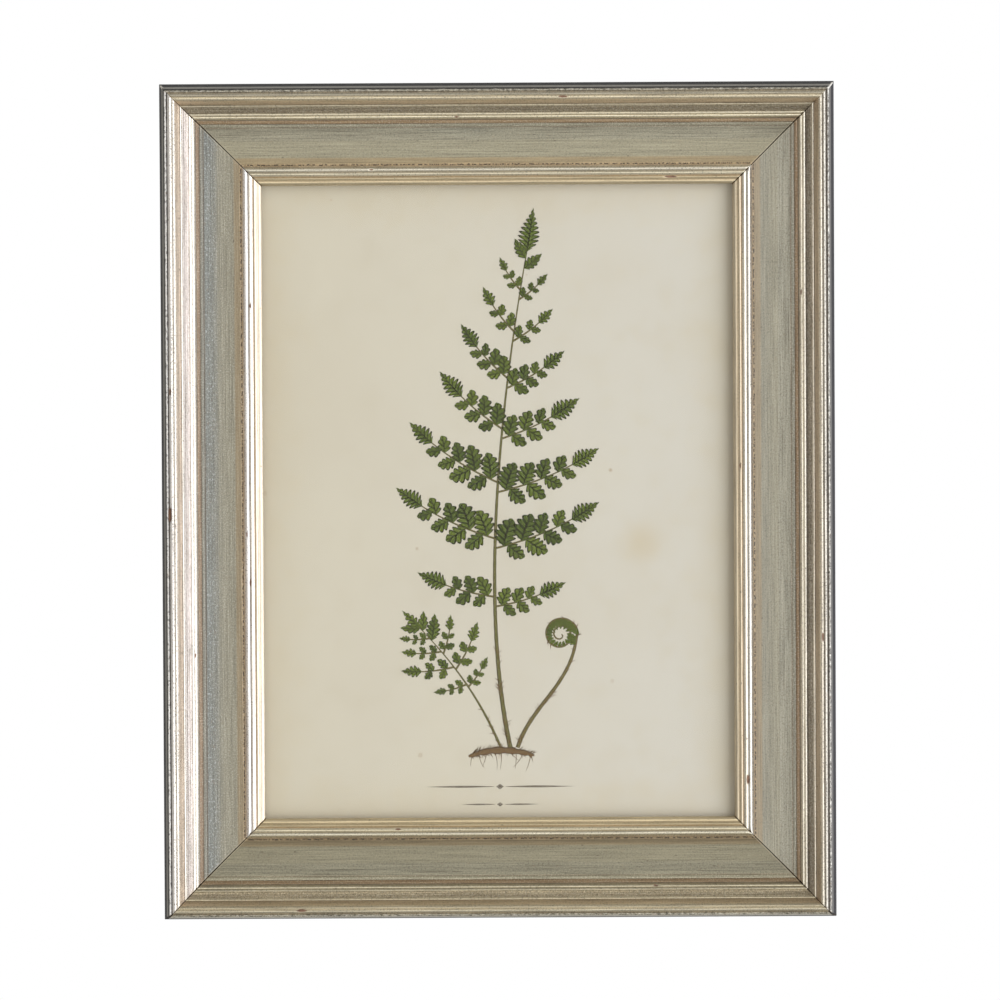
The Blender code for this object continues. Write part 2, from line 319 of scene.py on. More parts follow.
def rail_mesh(side):
    """One rail as a fine closed mesh, with the maps that its finish reads."""
    k = SIDES.index(side)
    section, front_end = fine_section()
    a, h = section[:, 0], section[:, 1]
    n = len(a)
    half = HALF_W if side in ("top", "bottom") else HALF_H
    reach = half - a - 0.001

    tang = np.zeros((n, 2))
    tang[1:-1] = section[2:] - section[:-2]
    tang[0], tang[-1] = section[1] - section[0], section[-1] - section[-2]
    tang /= np.linalg.norm(tang, axis=1)[:, None]
    norm = np.stack([-tang[:, 1], tang[:, 0]], 1)

    ends = [0.0, 0.07, 0.15, 0.25, 0.4, 0.65, 1.0]  # from the mitre, along the rail
    count = int(2 * half / 0.78)
    mid = np.linspace(-1, 1, count)
    s = np.concatenate(
        [
            np.array([-(reach - d) for d in ends[:-1]]),
            np.array([t * (reach - ends[-1]) for t in mid]),
            np.array([reach - d for d in reversed(ends[:-1])]),
        ]
    )
    m = len(s)
    A, H = np.tile(a, (m, 1)), np.tile(h, (m, 1))
    mitre = (np.tile(reach, (m, 1)) - np.abs(s)) / math.sqrt(2)

    front = np.zeros(n)
    front[: front_end + 1] = 1
    front[0] = 0
    front[front_end] = 0
    panel = step01(A, 13.5, 14.2) * (1 - step01(A, 24.2, 24.8))
    reeds = step01(A, 2.1, 2.6) * (1 - step01(A, 12.9, 13.5)) + step01(A, 25.4, 25.8) * (1 - step01(A, 30.0, 30.9))
    sk = s + 700.0 * k
    # hand rubbed grain in the panel, and a slight unevenness of gesso everywhere
    d = panel * (0.020 * vnoise(A * 2.7, sk * 0.055, 11) + 0.010 * vnoise(A * 4.4, sk * 0.11, 12))
    d += reeds * (0.014 * vnoise(A * 1.1, sk * 0.16, 13) + 0.008 * vnoise(A * 2.3, sk * 0.7, 14))
    d += 0.03 * vnoise(A * 0.12, sk * 0.02, 15)
    # the edge of the leaf, lifted in a ragged line before the lip
    ragged = 24.5 + 0.22 * vnoise(0 * A, sk * 0.35, 16) + 0.12 * vnoise(0 * A, sk * 1.3, 17)
    d -= 0.075 * step01(A, ragged, ragged + 0.12) * (1 - step01(A, 25.0, 25.12))
    d += 0.035 * np.exp(-(((A - ragged) / 0.16) ** 2))
    chip = np.zeros_like(A)
    for where, ca, cs, ra, rs, deep in CHIPS:
        if where == side:
            wob = 1 + 0.35 * vnoise(A * 2.1, sk * 1.4, 18)
            q = np.exp(-((((A - ca) / ra) ** 2 + ((s - cs) / rs) ** 2) * wob))
            chip = np.maximum(chip, q)
            d -= deep * step01(q, 0.25, 0.75)
    # the mitre's eased edges
    ease = np.interp(mitre, [0.0, 0.04, 0.09, 0.15, 0.24], [0.42, 0.26, 0.10, 0.02, 0.0])
    ease *= 0.75 + 0.35 * vnoise(A * 0.9, A * 0 + 3.1 * k, 19)
    # the upper right joint is the tightest over the outer reeds
    tight = (side == "top") * (s > 0) + (side == "right") * (s < 0)
    ease *= 0.32 - 0.26 * tight + (0.68 + 0.26 * tight) * step01(A, 7.0, 10.5)
    d -= ease
    # a little of each corner is lost at the lip
    d -= 0.3 * np.exp(-(((A - 26.4) / 0.5) ** 2)) * np.exp(-((mitre / 0.45) ** 2)) * (1 if side in ("left", "right") else 0.4)
    d *= front
    A2, H2 = A + norm[:, 0] * d, H + norm[:, 1] * d
    A2 = np.clip(A2, 0.0, FACE_W)

    x, y, z = on_rail(side, A2, H2, s)
    co = np.stack(np.broadcast_arrays(x, y, z), -1).reshape(-1, 3) * MM
    j, i = np.meshgrid(np.arange(m - 1), np.arange(n), indexing="ij")
    i2 = (i + 1) % n
    quads = np.stack([j * n + i, j * n + i2, (j + 1) * n + i2, (j + 1) * n + i], -1).reshape(-1, 4)
    back = np.broadcast_to((np.arange(n) >= front_end), (m - 1, n)).reshape(-1)
    faces = quads.tolist() + [list(range(n))[::-1], list(range((m - 1) * n, m * n))]

    mesh = bpy.data.meshes.new("leafed_rail_" + side)
    mesh.from_pydata(co.tolist(), [], faces)
    tri = quads[:, :3]
    p0, p1, p2 = co[tri[:, 0]], co[tri[:, 1]], co[tri[:, 2]]
    q0, q1, q2 = co[quads[:, 0]], co[quads[:, 2]], co[quads[:, 3]]
    volume = np.einsum("ij,ij->i", p0, np.cross(p1, p2)).sum() + np.einsum("ij,ij->i", q0, np.cross(q1, q2)).sum()
    if volume < 0:
        mesh.flip_normals()
    slots = np.zeros(len(faces), np.int32)
    slots[: len(quads)][back] = 1
    slots[: len(quads)][np.broadcast_to(np.append(section[1:, 0], 9.0) < 2.06, (m - 1, n)).reshape(-1) & ~back] = 2
    slots[len(quads) :] = 1
    mesh.polygons.foreach_set("material_index", slots)

    uv = mesh.uv_layers.new(name="rail")
    corner = np.zeros(len(mesh.loops), np.int32)
    mesh.loops.foreach_get("vertex_index", corner)
    flat = np.stack([A, sk], -1).reshape(-1, 2)
    uv.data.foreach_set("uv", flat[corner].astype(np.float32).ravel())
    for name, values in (("mitre", mitre), ("chip", chip), ("high", H)):
        layer = mesh.attributes.new(name, "FLOAT", "POINT")
        layer.data.foreach_set("value", np.ascontiguousarray(values, np.float32).ravel())
    mesh.shade_smooth()
    mesh.set_sharp_from_angle(angle=math.radians(52))
    obj = bpy.data.objects.new("leafed_rail_" + side, mesh)
    bpy.context.scene.collection.objects.link(obj)
    return obj


# ------------------------------------------------------------------------------------------------ leaf and patina
def bands_to_stops(bands, lo, hi, soft, pick):
    """Stops of a ramp over a from lo to hi: each band is flat, with a soft step to the next."""
    stops = []
    for b in bands:
        a0, a1 = b[0] + soft, b[1] - soft
        for a in ((a0, a1) if a1 > a0 + 0.25 else ((a0 + a1) / 2,)):
            stops.append((min(max((a - lo) / (hi - lo), 0.0), 1.0), pick(b)))
    return stops


def leaf_material():
    m = Nodes("rubbed_metal_leaf")
    uv = m.uv("rail")
    A, S, _ = m.split(uv)
    mitre = m.attribute("mitre")["Fac"]
    chip = m.attribute("chip")["Fac"]
    along = m.join(m.mul(A, 1.0), m.mul(S, 0.045))

    # the bands wander a little along the rail
    drift = m.noise(m.join(m.mul(A, 0.35), m.mul(S, 0.12)), 1.0, 2.0, 0.5)
    ragged = m.noise(m.join(m.mul(A, 0.8), m.mul(S, 0.9)), 1.0, 3.0, 0.6)
    in_ochre = m.mul(m.fit(A, 22.1, 23.4), m.fit(A, 25.12, 25.0))
    wander = m.add(m.mul(m.math("SUBTRACT", drift, 0.5), 0.14), m.mul(m.mul(m.math("SUBTRACT", ragged, 0.5), in_ochre), 1.1))
    AW = m.add(A, wander)

    # the rails were cut from different lengths: S tells them apart
    def rail_mask(k):
        return m.math("COMPARE", S, 700.0 * k, 200.0)

    on_top, on_bottom, on_left, on_right = (rail_mask(k) for k in range(4))

    # the finishes: colour, metallic, roughness and how coarsely the leaf has rubbed off
    silver = ((0.55, 0.51, 0.44), 0.95, 0.36, 0.55)
    bright = ((0.72, 0.69, 0.63), 0.95, 0.30, 0.35)
    champagne = ((0.62, 0.56, 0.455), 0.93, 0.34, 0.60)
    clean = ((0.74, 0.685, 0.575), 0.95, 0.31, 0.35)
    golden = ((0.62, 0.53, 0.385), 0.88, 0.35, 0.25)
    rim = ((0.50, 0.485, 0.45), 0.90, 0.38, 1.00)
    worn = ((0.36, 0.31, 0.24), 0.80, 0.38, 0.75)
    clay = ((0.54, 0.435, 0.32), 0.65, 0.40, 0.40)
    glaze = ((0.19, 0.15, 0.11), 0.35, 0.52, 0.35)
    grime = ((0.12, 0.085, 0.055), 0.10, 0.60, 0.30)
    brown = ((0.325, 0.228, 0.142), 0.40, 0.50, 0.50)
    patina = ((0.305, 0.285, 0.215), 0.28, 0.46, 0.42)
    drab = ((0.30, 0.285, 0.225), 0.28, 0.46, 0.55)
    ochre = ((0.34, 0.273, 0.175), 0.22, 0.48, 0.25)
    pale_ochre = ((0.42, 0.318, 0.195), 0.22, 0.48, 0.45)
    umber = ((0.27, 0.185, 0.11), 0.30, 0.52, 0.40)
    sienna = ((0.45, 0.335, 0.215), 0.60, 0.42, 0.35)
    clay_gold = ((0.60, 0.49, 0.35), 0.75, 0.38, 0.30)
    outer = [
        (2.02, 2.72, rim),
        (2.78, 3.02, glaze),
        (3.10, 3.90, silver),
        (4.00, 4.28, champagne),
        (4.34, 4.44, clean),
        (4.48, 5.40, champagne),
        (5.48, 6.54, clay),
        (6.58, 6.74, glaze),
        (6.80, 7.32, clean),
        (7.40, 8.04, worn),
        (8.12, 8.68, worn),
        (8.76, 9.18, worn),
        (9.26, 10.98, clean),
    ]
    inner = [
        (11.02, 11.12, clean),
        (11.16, 11.36, grime),
        (11.44, 12.24, brown),
        (12.32, 12.46, grime),
        (12.54, 13.34, drab),
        (13.42, 13.56, glaze),
        (13.80, 17.20, drab),
        (17.60, 22.40, patina),
        (22.90, 24.30, ochre),
        (24.46, 25.10, pale_ochre),
        (25.14, 25.30, umber),
        (25.38, 26.70, bright),
        (26.76, 26.92, glaze),
        (26.98, 28.26, clean),
        (28.30, 28.60, sienna),
        (28.68, 29.40, golden),
        (29.56, 29.78, clay_gold),
        (29.90, 31.00, golden),
    ]

    def both(pick):
        left = m.ramp(m.fit(AW, 2.0, 11.0, smooth=False), bands_to_stops(outer, 2.0, 11.0, 0.012, pick))
        right = m.ramp(m.fit(AW, 11.0, 31.0, smooth=False), bands_to_stops(inner, 11.0, 31.0, 0.012, pick))
        return m.mix(m.math("GREATER_THAN", AW, 11.0), left, right)

    colour = both(lambda b: b[2][0])
    values = both(lambda b: b[2][1:])
    vn = m.node("ShaderNodeSeparateColor")
    m.put(vn.inputs[0], values)
    metal, rough, rubs = vn.outputs[0], vn.outputs[1], vn.outputs[2]

    # long streaks that the rubbing left, then a tooth as fine as the gesso's grain
    streak = m.noise(m.join(m.mul(A, 2.6), m.mul(S, 0.05)), 1.0, 3.0, 0.6)
    fine = m.noise(m.join(m.mul(A, 5.5), m.mul(S, 0.35)), 1.0, 2.0, 0.6)
    grit = m.noise(m.join(m.mul(A, 2.3), m.mul(S, 1.6)), 1.0, 2.0, 0.75)
    grit2 = m.noise(m.join(m.mul(A, 2.7), m.mul(S, 2.3), 9.0), 1.0, 2.0, 0.75)
    patch = m.noise(m.join(m.mul(A, 0.10), m.mul(S, 0.022)), 1.0, 2.0, 0.5)
    tone = m.add(m.fit(streak, 0.3, 0.7, 0.88, 1.12), m.fit(fine, 0.25, 0.75, -0.07, 0.07))
    colour = m.mix(1.0, colour, m.join(tone, tone, tone), "MULTIPLY")
    pits = m.mul(m.fit(m.add(grit, m.mul(m.math("SUBTRACT", streak, 0.5), 0.3)), 0.49, 0.37), rubs)
    glints = m.mul(m.fit(m.add(grit2, m.mul(m.math("SUBTRACT", streak, 0.5), 0.3)), 0.52, 0.64), rubs)
    upright = m.add(on_left, on_right)
    crest = m.mul(m.mul(m.fit(A, 2.0, 2.1), m.fit(A, 5.3, 4.2)), upright)
    crest = m.math("MAXIMUM", crest, m.fit(A, 3.4, 3.0))
    pits = m.math("MINIMUM", m.mul(pits, m.add(m.mul(crest, 0.8), 1.0)), 1.0)
    glints = m.mul(glints, m.math("SUBTRACT", 1.0, m.mul(m.mul(m.fit(A, 13.5, 13.9), m.fit(A, 25.2, 25.0)), m.math("SUBTRACT", 0.6, m.mul(on_left, 0.6)))))
    colour = m.mix(m.mul(pits, 0.88), colour, m.mix(0.78, colour, srgb(58, 52, 46)))
    colour = m.mix(m.mul(glints, 0.75), colour, srgb(226, 220, 206))
    metal = m.mul(metal, m.fit(pits, 0.0, 1.0, 1.0, 0.5))

    # in the panel, warm and cool patina drift into each other, with pale flecks of leaf where it is coolest; on the
    # left rail, which faces the light, the strong cool tint is a painted reflection of the cool light and the flecks
    # are partly painted glints
    in_panel = m.mul(m.fit(A, 13.5, 13.9), m.fit(A, 23.1, 22.3))
    outer_panel = m.mul(in_panel, m.fit(A, 19.0, 14.0))
    cool = m.mul(outer_panel, m.add(m.mul(on_left, m.fit(patch, 0.25, 0.5, 0.55, 1.0)), m.fit(patch, 0.55, 0.75, 0.0, 0.25)))
    colour = m.mix(m.mul(cool, 0.62), colour, m.mix(1.0, colour, srgb(226, 240, 255), "MULTIPLY"))
    strokes = m.noise(m.join(m.mul(A, 2.6), m.mul(S, 1.2), 5.0), 1.0, 3.0, 0.75)
    flecks = m.mul(m.fit(strokes, 0.55, 0.64), m.mul(in_panel, m.fit(cool, 0.0, 0.8, 0.10, 1.0)))
    colour = m.mix(m.mul(flecks, 0.80), colour, srgb(214, 217, 214))
    metal = m.add(metal, m.mul(flecks, 0.35))

    # fine dark scratches with the length of the rail, most of them in the outer half of the scoop
    scratch = m.noise(m.join(m.mul(A, 5.2), m.mul(S, 0.03)), 1.0, 2.0, 0.55)
    broken = m.fit(m.add(fine, m.mul(m.math("SUBTRACT", grit, 0.5), 0.8)), 0.38, 0.56)
    less_left = m.math("SUBTRACT", 1.0, m.mul(on_left, 0.45))
    shares = m.mul(m.add(m.mul(in_panel, 0.22), m.mul(outer_panel, m.add(0.95, m.mul(on_top, 0.9)))), less_left)
    lines = m.mul(m.mul(m.fit(scratch, 0.56, 0.66), broken), m.math("MINIMUM", shares, 1.0))
    colour = m.mix(m.mul(lines, 0.82), colour, srgb(70, 62, 48))

    # the ochre ends in a ragged edge: dark ticks with gaps between them, and crumbs of pale gesso
    tick_at = m.add(24.78, m.mul(m.math("SUBTRACT", m.noise(m.join(0.0, m.mul(S, 0.55), 3.0), 1.0, 3.0, 0.7), 0.5), 0.9))
    tick_run = m.noise(m.join(2.0, m.mul(S, 0.8)), 1.0, 3.0, 0.75)
    off = m.math("ABSOLUTE", m.math("SUBTRACT", A, tick_at))
    ticks = m.mul(m.fit(off, 0.26, 0.13), m.fit(tick_run, 0.46, 0.52))
    crumbs = m.mul(m.mul(m.fit(m.math("ABSOLUTE", m.math("SUBTRACT", A, m.add(tick_at, 0.3))), 0.22, 0.10), m.fit(tick_run, 0.55, 0.60)), 0.6)
    colour = m.mix(crumbs, colour, srgb(208, 196, 172))
    colour = m.mix(m.mul(ticks, 0.9), colour, srgb(48, 36, 28))
    metal = m.mul(metal, m.math("SUBTRACT", 1.0, m.mul(ticks, 0.7)))

    # the left rail's steps are lightened over the dark worn band, a painted highlight where they face the light; the
    # top and bottom rails are the yellowest
    steps = m.mul(m.fit(A, 7.3, 7.5), m.fit(A, 9.4, 9.2))
    thick = m.fit(m.add(m.mul(streak, 0.6), m.mul(fine, 0.4)), 0.38, 0.58, 0.15, 0.75)
    colour = m.mix(m.mul(m.mul(steps, on_left), thick), colour, srgb(202, 190, 178))
    # painted light and shade rail by rail: bands on the left and right rails are lighter or darker by how they face the
    # light; the bottom rail is darker across its scoop
    brow = m.fit(A, 11.3, 11.7)
    left_painted_light = m.add(m.mul(m.mul(brow, m.fit(A, 19.0, 15.0)), -0.24), m.add(m.mul(m.fit(A, 25.2, 25.4), 0.24), m.mul(m.fit(A, 11.3, 10.9), 0.14)))
    right_painted_light = m.add(m.mul(m.mul(brow, m.fit(A, 21.0, 16.0)), 0.30), m.add(m.mul(m.fit(A, 3.2, 2.7), -0.22), m.mul(m.mul(m.fit(A, 9.1, 9.3), m.fit(A, 11.2, 11.0)), 0.14)))
    foot_tone = m.mul(m.mul(brow, m.fit(A, 25.4, 25.2)), m.add(m.mul(m.fit(A, 22.5, 24.0), -0.20), m.add(m.mul(m.fit(A, 12.8, 12.2), -0.16), -0.11)))
    rail_light_and_tone = m.add(m.add(m.mul(on_left, left_painted_light), m.mul(on_right, right_painted_light)), m.add(m.mul(on_bottom, foot_tone), 1.0))
    colour = m.mix(1.0, colour, m.join(rail_light_and_tone, rail_light_and_tone, rail_light_and_tone), "MULTIPLY")
    # on the left rail the reeds and the lip are tinted cool, a painted reflection of the cool light from the right
    pale = m.mul(on_left, m.math("MAXIMUM", m.fit(A, 11.3, 10.9), m.fit(A, 25.2, 25.4)))
    colour = m.mix(m.mul(pale, 0.7), colour, m.mix(1.0, colour, (0.96, 0.985, 1.09), "MULTIPLY"))
    yellow = m.add(m.mul(on_top, 0.5), m.mul(on_bottom, 0.7))
    colour = m.mix(yellow, colour, m.mix(1.0, colour, srgb(255, 250, 228), "MULTIPLY"))

    # place across the moulding in mm, and a factor on the leaf's brightness for each rail, painted light and shade as
    # well as wear. The factors were set by comparing the mean brightness of each band in the photo and the render, so
    # they hold that photo's light as well as the wear
    rail_light_and_wear = (
        (on_top, [(2.13, 0.2), (2.25, 0.9), (2.6, 0.85), (3.0, 1.35), (3.8, 0.8), (4.5, 1.35), (5.1, 1.05), (6.0, 1.1), (6.75, 0.75), (7.2, 0.95), (9.1, 0.95), (9.8, 1.15), (10.7, 1.15), (11.3, 0.9), (12.0, 1.2), (12.6, 0.85), (13.2, 1.1), (13.8, 0.9), (16.0, 1.0), (22.0, 1.1), (24.0, 1.05), (25.2, 1.0), (29.4, 1.0), (29.6, 1.25), (29.8, 1.2), (30.1, 0.9)]),
        (on_bottom, [(2.1, 1.5), (2.35, 0.85), (2.7, 0.8), (2.95, 1.4), (3.4, 0.95), (4.1, 1.35), (4.7, 0.8), (5.7, 1.0), (6.4, 0.7), (6.8, 0.9), (7.5, 1.1), (8.5, 1.4), (8.85, 1.9), (9.4, 0.65), (10.4, 0.85), (10.9, 0.7), (11.6, 1.0), (12.3, 1.3), (13.4, 1.25), (14.1, 1.05), (15.5, 0.9), (21.5, 0.95), (24.2, 0.75), (25.2, 1.0), (28.5, 1.0), (28.8, 0.85), (29.2, 1.0)]),
        (on_left, [(2.12, 0.2), (2.2, 1.5), (2.5, 1.4), (2.7, 0.5), (2.95, 0.45), (3.15, 1.4), (3.4, 1.35), (3.7, 0.95), (5.9, 0.95), (6.6, 1.2), (7.0, 0.9), (7.8, 0.7), (8.4, 0.9), (9.1, 1.1), (10.5, 0.95), (11.1, 1.1), (11.9, 0.9), (12.5, 1.05), (13.1, 0.8), (17.8, 0.9), (20.0, 1.0), (24.5, 1.1), (25.2, 1.05), (26.6, 1.05), (26.8, 0.75), (27.1, 1.0), (29.4, 1.0), (29.6, 0.85)]),
        (on_right, [(2.1, 1.5), (2.35, 0.55), (2.6, 1.25), (2.9, 0.8), (3.2, 0.6), (3.6, 0.95), (4.4, 0.75), (4.9, 1.3), (5.9, 1.05), (6.6, 0.9), (7.1, 1.2), (8.4, 0.95), (9.05, 0.5), (9.8, 1.25), (10.6, 1.0), (11.8, 1.1), (12.5, 0.8), (13.1, 1.1), (20.0, 1.0), (23.4, 0.85), (24.4, 0.75), (25.2, 1.0), (29.3, 1.0), (29.55, 1.35), (29.8, 1.25), (30.1, 0.92)]),
    )
    hand = 0.0
    for mask, stops in rail_light_and_wear:
        share = m.ramp(m.fit(A, 2.0, 31.0, smooth=False), [((a - 2.0) / 29.0, (t / 2,) * 3) for a, t in stops])
        hand = m.add(m.mul(share, mask), hand)
    hand = m.mul(hand, 2.0)
    colour = m.mix(1.0, colour, m.join(hand, hand, hand), "MULTIPLY")
    # on the left rail the rim and the first reed are whitened, with less metal, as a painted highlight
    left_painted_highlight = m.mul(on_left, m.math("MAXIMUM", m.mul(m.fit(A, 2.12, 2.2), m.fit(A, 2.66, 2.56)), m.mul(m.mul(m.fit(A, 3.05, 3.15), m.fit(A, 3.7, 3.45)), 0.8)))
    colour = m.mix(m.mul(left_painted_highlight, 0.85), colour, srgb(240, 237, 231))
    metal = m.mul(metal, m.fit(left_painted_highlight, 0.0, 1.0, 1.0, 0.35))

    mottle = m.noise(m.join(m.mul(A, 2.0), m.mul(S, 0.85), 21.0), 1.0, 2.0, 0.65)
    most_worn = m.math("MAXIMUM", m.fit(A, 2.9, 2.7), m.mul(m.mul(m.fit(A, 6.6, 6.8), m.fit(A, 11.2, 11.0)), m.math("SUBTRACT", 0.28, m.mul(on_left, 0.12))))
    colour = m.mix(m.mul(m.fit(mottle, 0.48, 0.38), m.mul(most_worn, 0.65)), colour, srgb(70, 64, 56))
    colour = m.mix(m.mul(m.fit(mottle, 0.54, 0.63), m.mul(most_worn, 0.55)), colour, srgb(228, 223, 212))

    # where the leaf is rubbed through, the tan clay shows
    wear = m.noise(m.join(m.mul(A, 1.9), m.mul(S, 0.55)), 1.0, 4.0, 0.72)
    thin = m.mul(m.fit(wear, 0.57, 0.68), rubs)
    colour = m.mix(m.mul(thin, 0.5), colour, srgb(142, 112, 84))
    metal = m.mul(metal, m.fit(thin, 0.0, 1.0, 1.0, 0.35))

    # dark specks, few and small, as spattered on
    cell = m.voronoi(m.join(m.mul(A, 0.62), m.mul(S, 0.30)), 1.0)
    pick = m.node("ShaderNodeSeparateColor")
    m.put(pick.inputs[0], cell["Color"])
    spot_size = m.fit(pick.outputs[0], 0.55, 1.0, 0.0, 0.13, smooth=False)
    spots = m.mul(m.fit(m.math("SUBTRACT", cell["Distance"], spot_size), 0.02, -0.03), m.math("GREATER_THAN", pick.outputs[0], 0.62))
    colour = m.mix(m.mul(spots, 0.62), colour, srgb(86, 76, 58))
    metal = m.mul(metal, m.fit(spots, 0.0, 1.0, 1.0, 0.3))

    # at the upper right corner the rim is knocked back to the white gesso
    X, _, Z = m.split(m.object_mm())
    gesso = m.mul(m.mul(m.fit(A, 2.6, 2.2), m.fit(m.add(mitre, m.mul(m.math("SUBTRACT", grit, 0.5), 0.3)), 0.34, 0.20)), m.mul(m.math("GREATER_THAN", Z, Z_MID), m.math("GREATER_THAN", X, 0.0)))
    colour = m.mix(gesso, colour, srgb(240, 236, 226))
    metal = m.mul(metal, m.math("SUBTRACT", 1.0, gesso))

    # knocks show the red clay and the dark wood
    bare = m.fit(m.add(chip, m.mul(m.math("SUBTRACT", grit, 0.5), 0.5)), 0.42, 0.62)
    colour = m.mix(bare, colour, m.mix(m.fit(fine, 0.4, 0.6), srgb(92, 62, 48), srgb(150, 116, 92)))
    metal = m.mul(metal, m.fit(bare, 0.0, 1.0, 1.0, 0.0))

    rough = m.add(rough, m.fit(grit, 0.3, 0.7, -0.04, 0.07))

    # the mitre holds dark glaze from the steps inward, with a thin bright edge beside it
    tight = m.mul(m.math("GREATER_THAN", X, 0.0), m.math("GREATER_THAN", Z, Z_MID))
    lower = m.math("SUBTRACT", 1.0, m.math("GREATER_THAN", Z, Z_MID))
    open_joint = m.fit(A, 7.6, 10.5, m.add(m.fit(tight, 0.0, 1.0, 0.35, 0.0), m.mul(lower, 0.4)), 1.0)
    rim_gap = m.mul(m.fit(A, 3.3, 2.8), lower)
    open_joint = m.math("MAXIMUM", open_joint, rim_gap)
    seam = m.mul(m.fit(m.add(mitre, m.mul(m.math("SUBTRACT", ragged, 0.5), 0.08)), m.add(m.mul(rim_gap, 0.16), 0.16), m.add(m.mul(rim_gap, 0.12), 0.07)), open_joint)
    edge = m.mul(m.mul(m.fit(mitre, 0.20, 0.27), m.fit(mitre, 0.48, 0.36)), open_joint)
    colour = m.mix(m.mul(edge, 0.25), colour, srgb(214, 198, 168))
    colour = m.mix(seam, colour, srgb(26, 20, 16))
    metal = m.mul(metal, m.math("SUBTRACT", 1.0, seam))
    rough = m.mixf(seam, rough, 0.8)

    height = m.add(m.mul(streak, 0.5), m.add(m.mul(fine, 0.35), m.mul(grit, 0.35)))
    m.set(
        Base_Color=colour,
        Metallic=m.math("MINIMUM", metal, 1.0),
        Roughness=m.math("MAXIMUM", rough, 0.12),
        Normal=m.bump(height, 0.55, 0.00009),
    )
    return m.mat


def lacquer_material():
    m = Nodes("charcoal_lacquer")
    A, S, _ = m.split(m.uv("rail"))
    high = m.attribute("high")["Fac"]
    mitre = m.attribute("mitre")["Fac"]
    dull = m.noise(m.join(m.mul(S, 0.35), m.mul(high, 1.1)), 1.0, 3.0, 0.6)
    brushed = m.noise(m.join(m.mul(S, 0.06), m.mul(high, 5.0)), 1.0, 3.0, 0.6)
    grit = m.noise(m.join(m.mul(S, 3.0), m.mul(high, 3.0)), 1.0, 2.0, 0.7)
    base = m.mix(m.fit(dull, 0.35, 0.75), srgb(23, 23, 27), srgb(40, 40, 46))
    base = m.mix(m.fit(brushed, 0.5, 0.75, 0.0, 0.5), base, srgb(58, 57, 62))
    # the slope over the ledge is rubbed grey, lightest on the bottom rail and running up to the rim on the bottom and
    # right rails, as painted light; on the top and left rails the part next to the rim is blackest, as painted shade
    def rail_mask(k):
        return m.math("COMPARE", S, 700.0 * k, 200.0)

    on_top, on_bottom, on_left, on_right = (rail_mask(k) for k in range(4))
    lit = m.add(on_bottom, on_right)
    slope = m.mul(m.mul(m.fit(high, 13.0, 15.4), m.fit(high, 18.8, 17.8)), m.math("SUBTRACT", 1.0, on_right))
    slope = m.math("MAXIMUM", slope, m.mul(m.fit(high, 15.2, 16.4), m.fit(lit, 0.0, 1.0, 0.0, 0.9)))
    rubbed = m.fit(m.add(m.mul(brushed, 0.55), m.mul(grit, 0.45)), 0.34, 0.60, 0.45, 1.0)
    grey = m.mix(m.add(m.mul(on_bottom, 0.9), m.add(m.mul(on_top, 0.35), m.mul(on_left, 0.35))), srgb(126, 124, 120), srgb(226, 221, 208))
    # the right rail's side is a lighter, cooler charcoal, painted light from the right
    base = m.mix(m.mul(on_right, 0.6), base, srgb(52, 51, 57))
    base = m.mix(m.mul(slope, rubbed), base, grey)
    base = m.mix(m.mul(m.fit(high, 17.8, 18.6), m.math("SUBTRACT", 1.0, lit)), base, srgb(9, 8, 9))
    worn = m.mul(m.fit(high, 20.2, 21.1), m.fit(m.add(dull, m.mul(grit, 0.4)), 0.76, 0.88))
    base = m.mix(m.mul(worn, 0.6), base, srgb(140, 128, 110))
    foot = m.mul(m.fit(high, 1.6, 0.2), m.fit(grit, 0.4, 0.6))
    base = m.mix(m.mul(foot, 0.6), base, srgb(150, 124, 92))
    X, _, Z = m.split(m.object_mm())
    upper = m.math("GREATER_THAN", Z, Z_MID)
    wide = m.fit(upper, 0.0, 1.0, 0.50, 0.22)
    bare = m.fit(m.add(mitre, m.mul(m.math("SUBTRACT", grit, 0.5), 0.3)), wide, m.mul(wide, 0.5))
    white = m.mul(m.mul(m.fit(m.add(mitre, m.mul(m.math("SUBTRACT", grit, 0.5), 0.2)), 0.34, 0.20), m.mul(m.fit(high, 8.0, 10.0), m.math("MAXIMUM", m.math("GREATER_THAN", X, 0.0), m.fit(high, 17.0, 15.0)))), upper)
    base = m.mix(bare, base, srgb(30, 24, 22))
    base = m.mix(white, base, srgb(236, 232, 222))
    m.set(
        Base_Color=base,
        Roughness=m.fit(dull, 0.3, 0.7, 0.42, 0.58),
        Normal=m.bump(m.add(m.mul(brushed, 0.6), m.mul(grit, 0.4)), 0.5, 0.00008),
    )
    m.shader.inputs["Specular IOR Level"].default_value = 0.16
    return m.mat


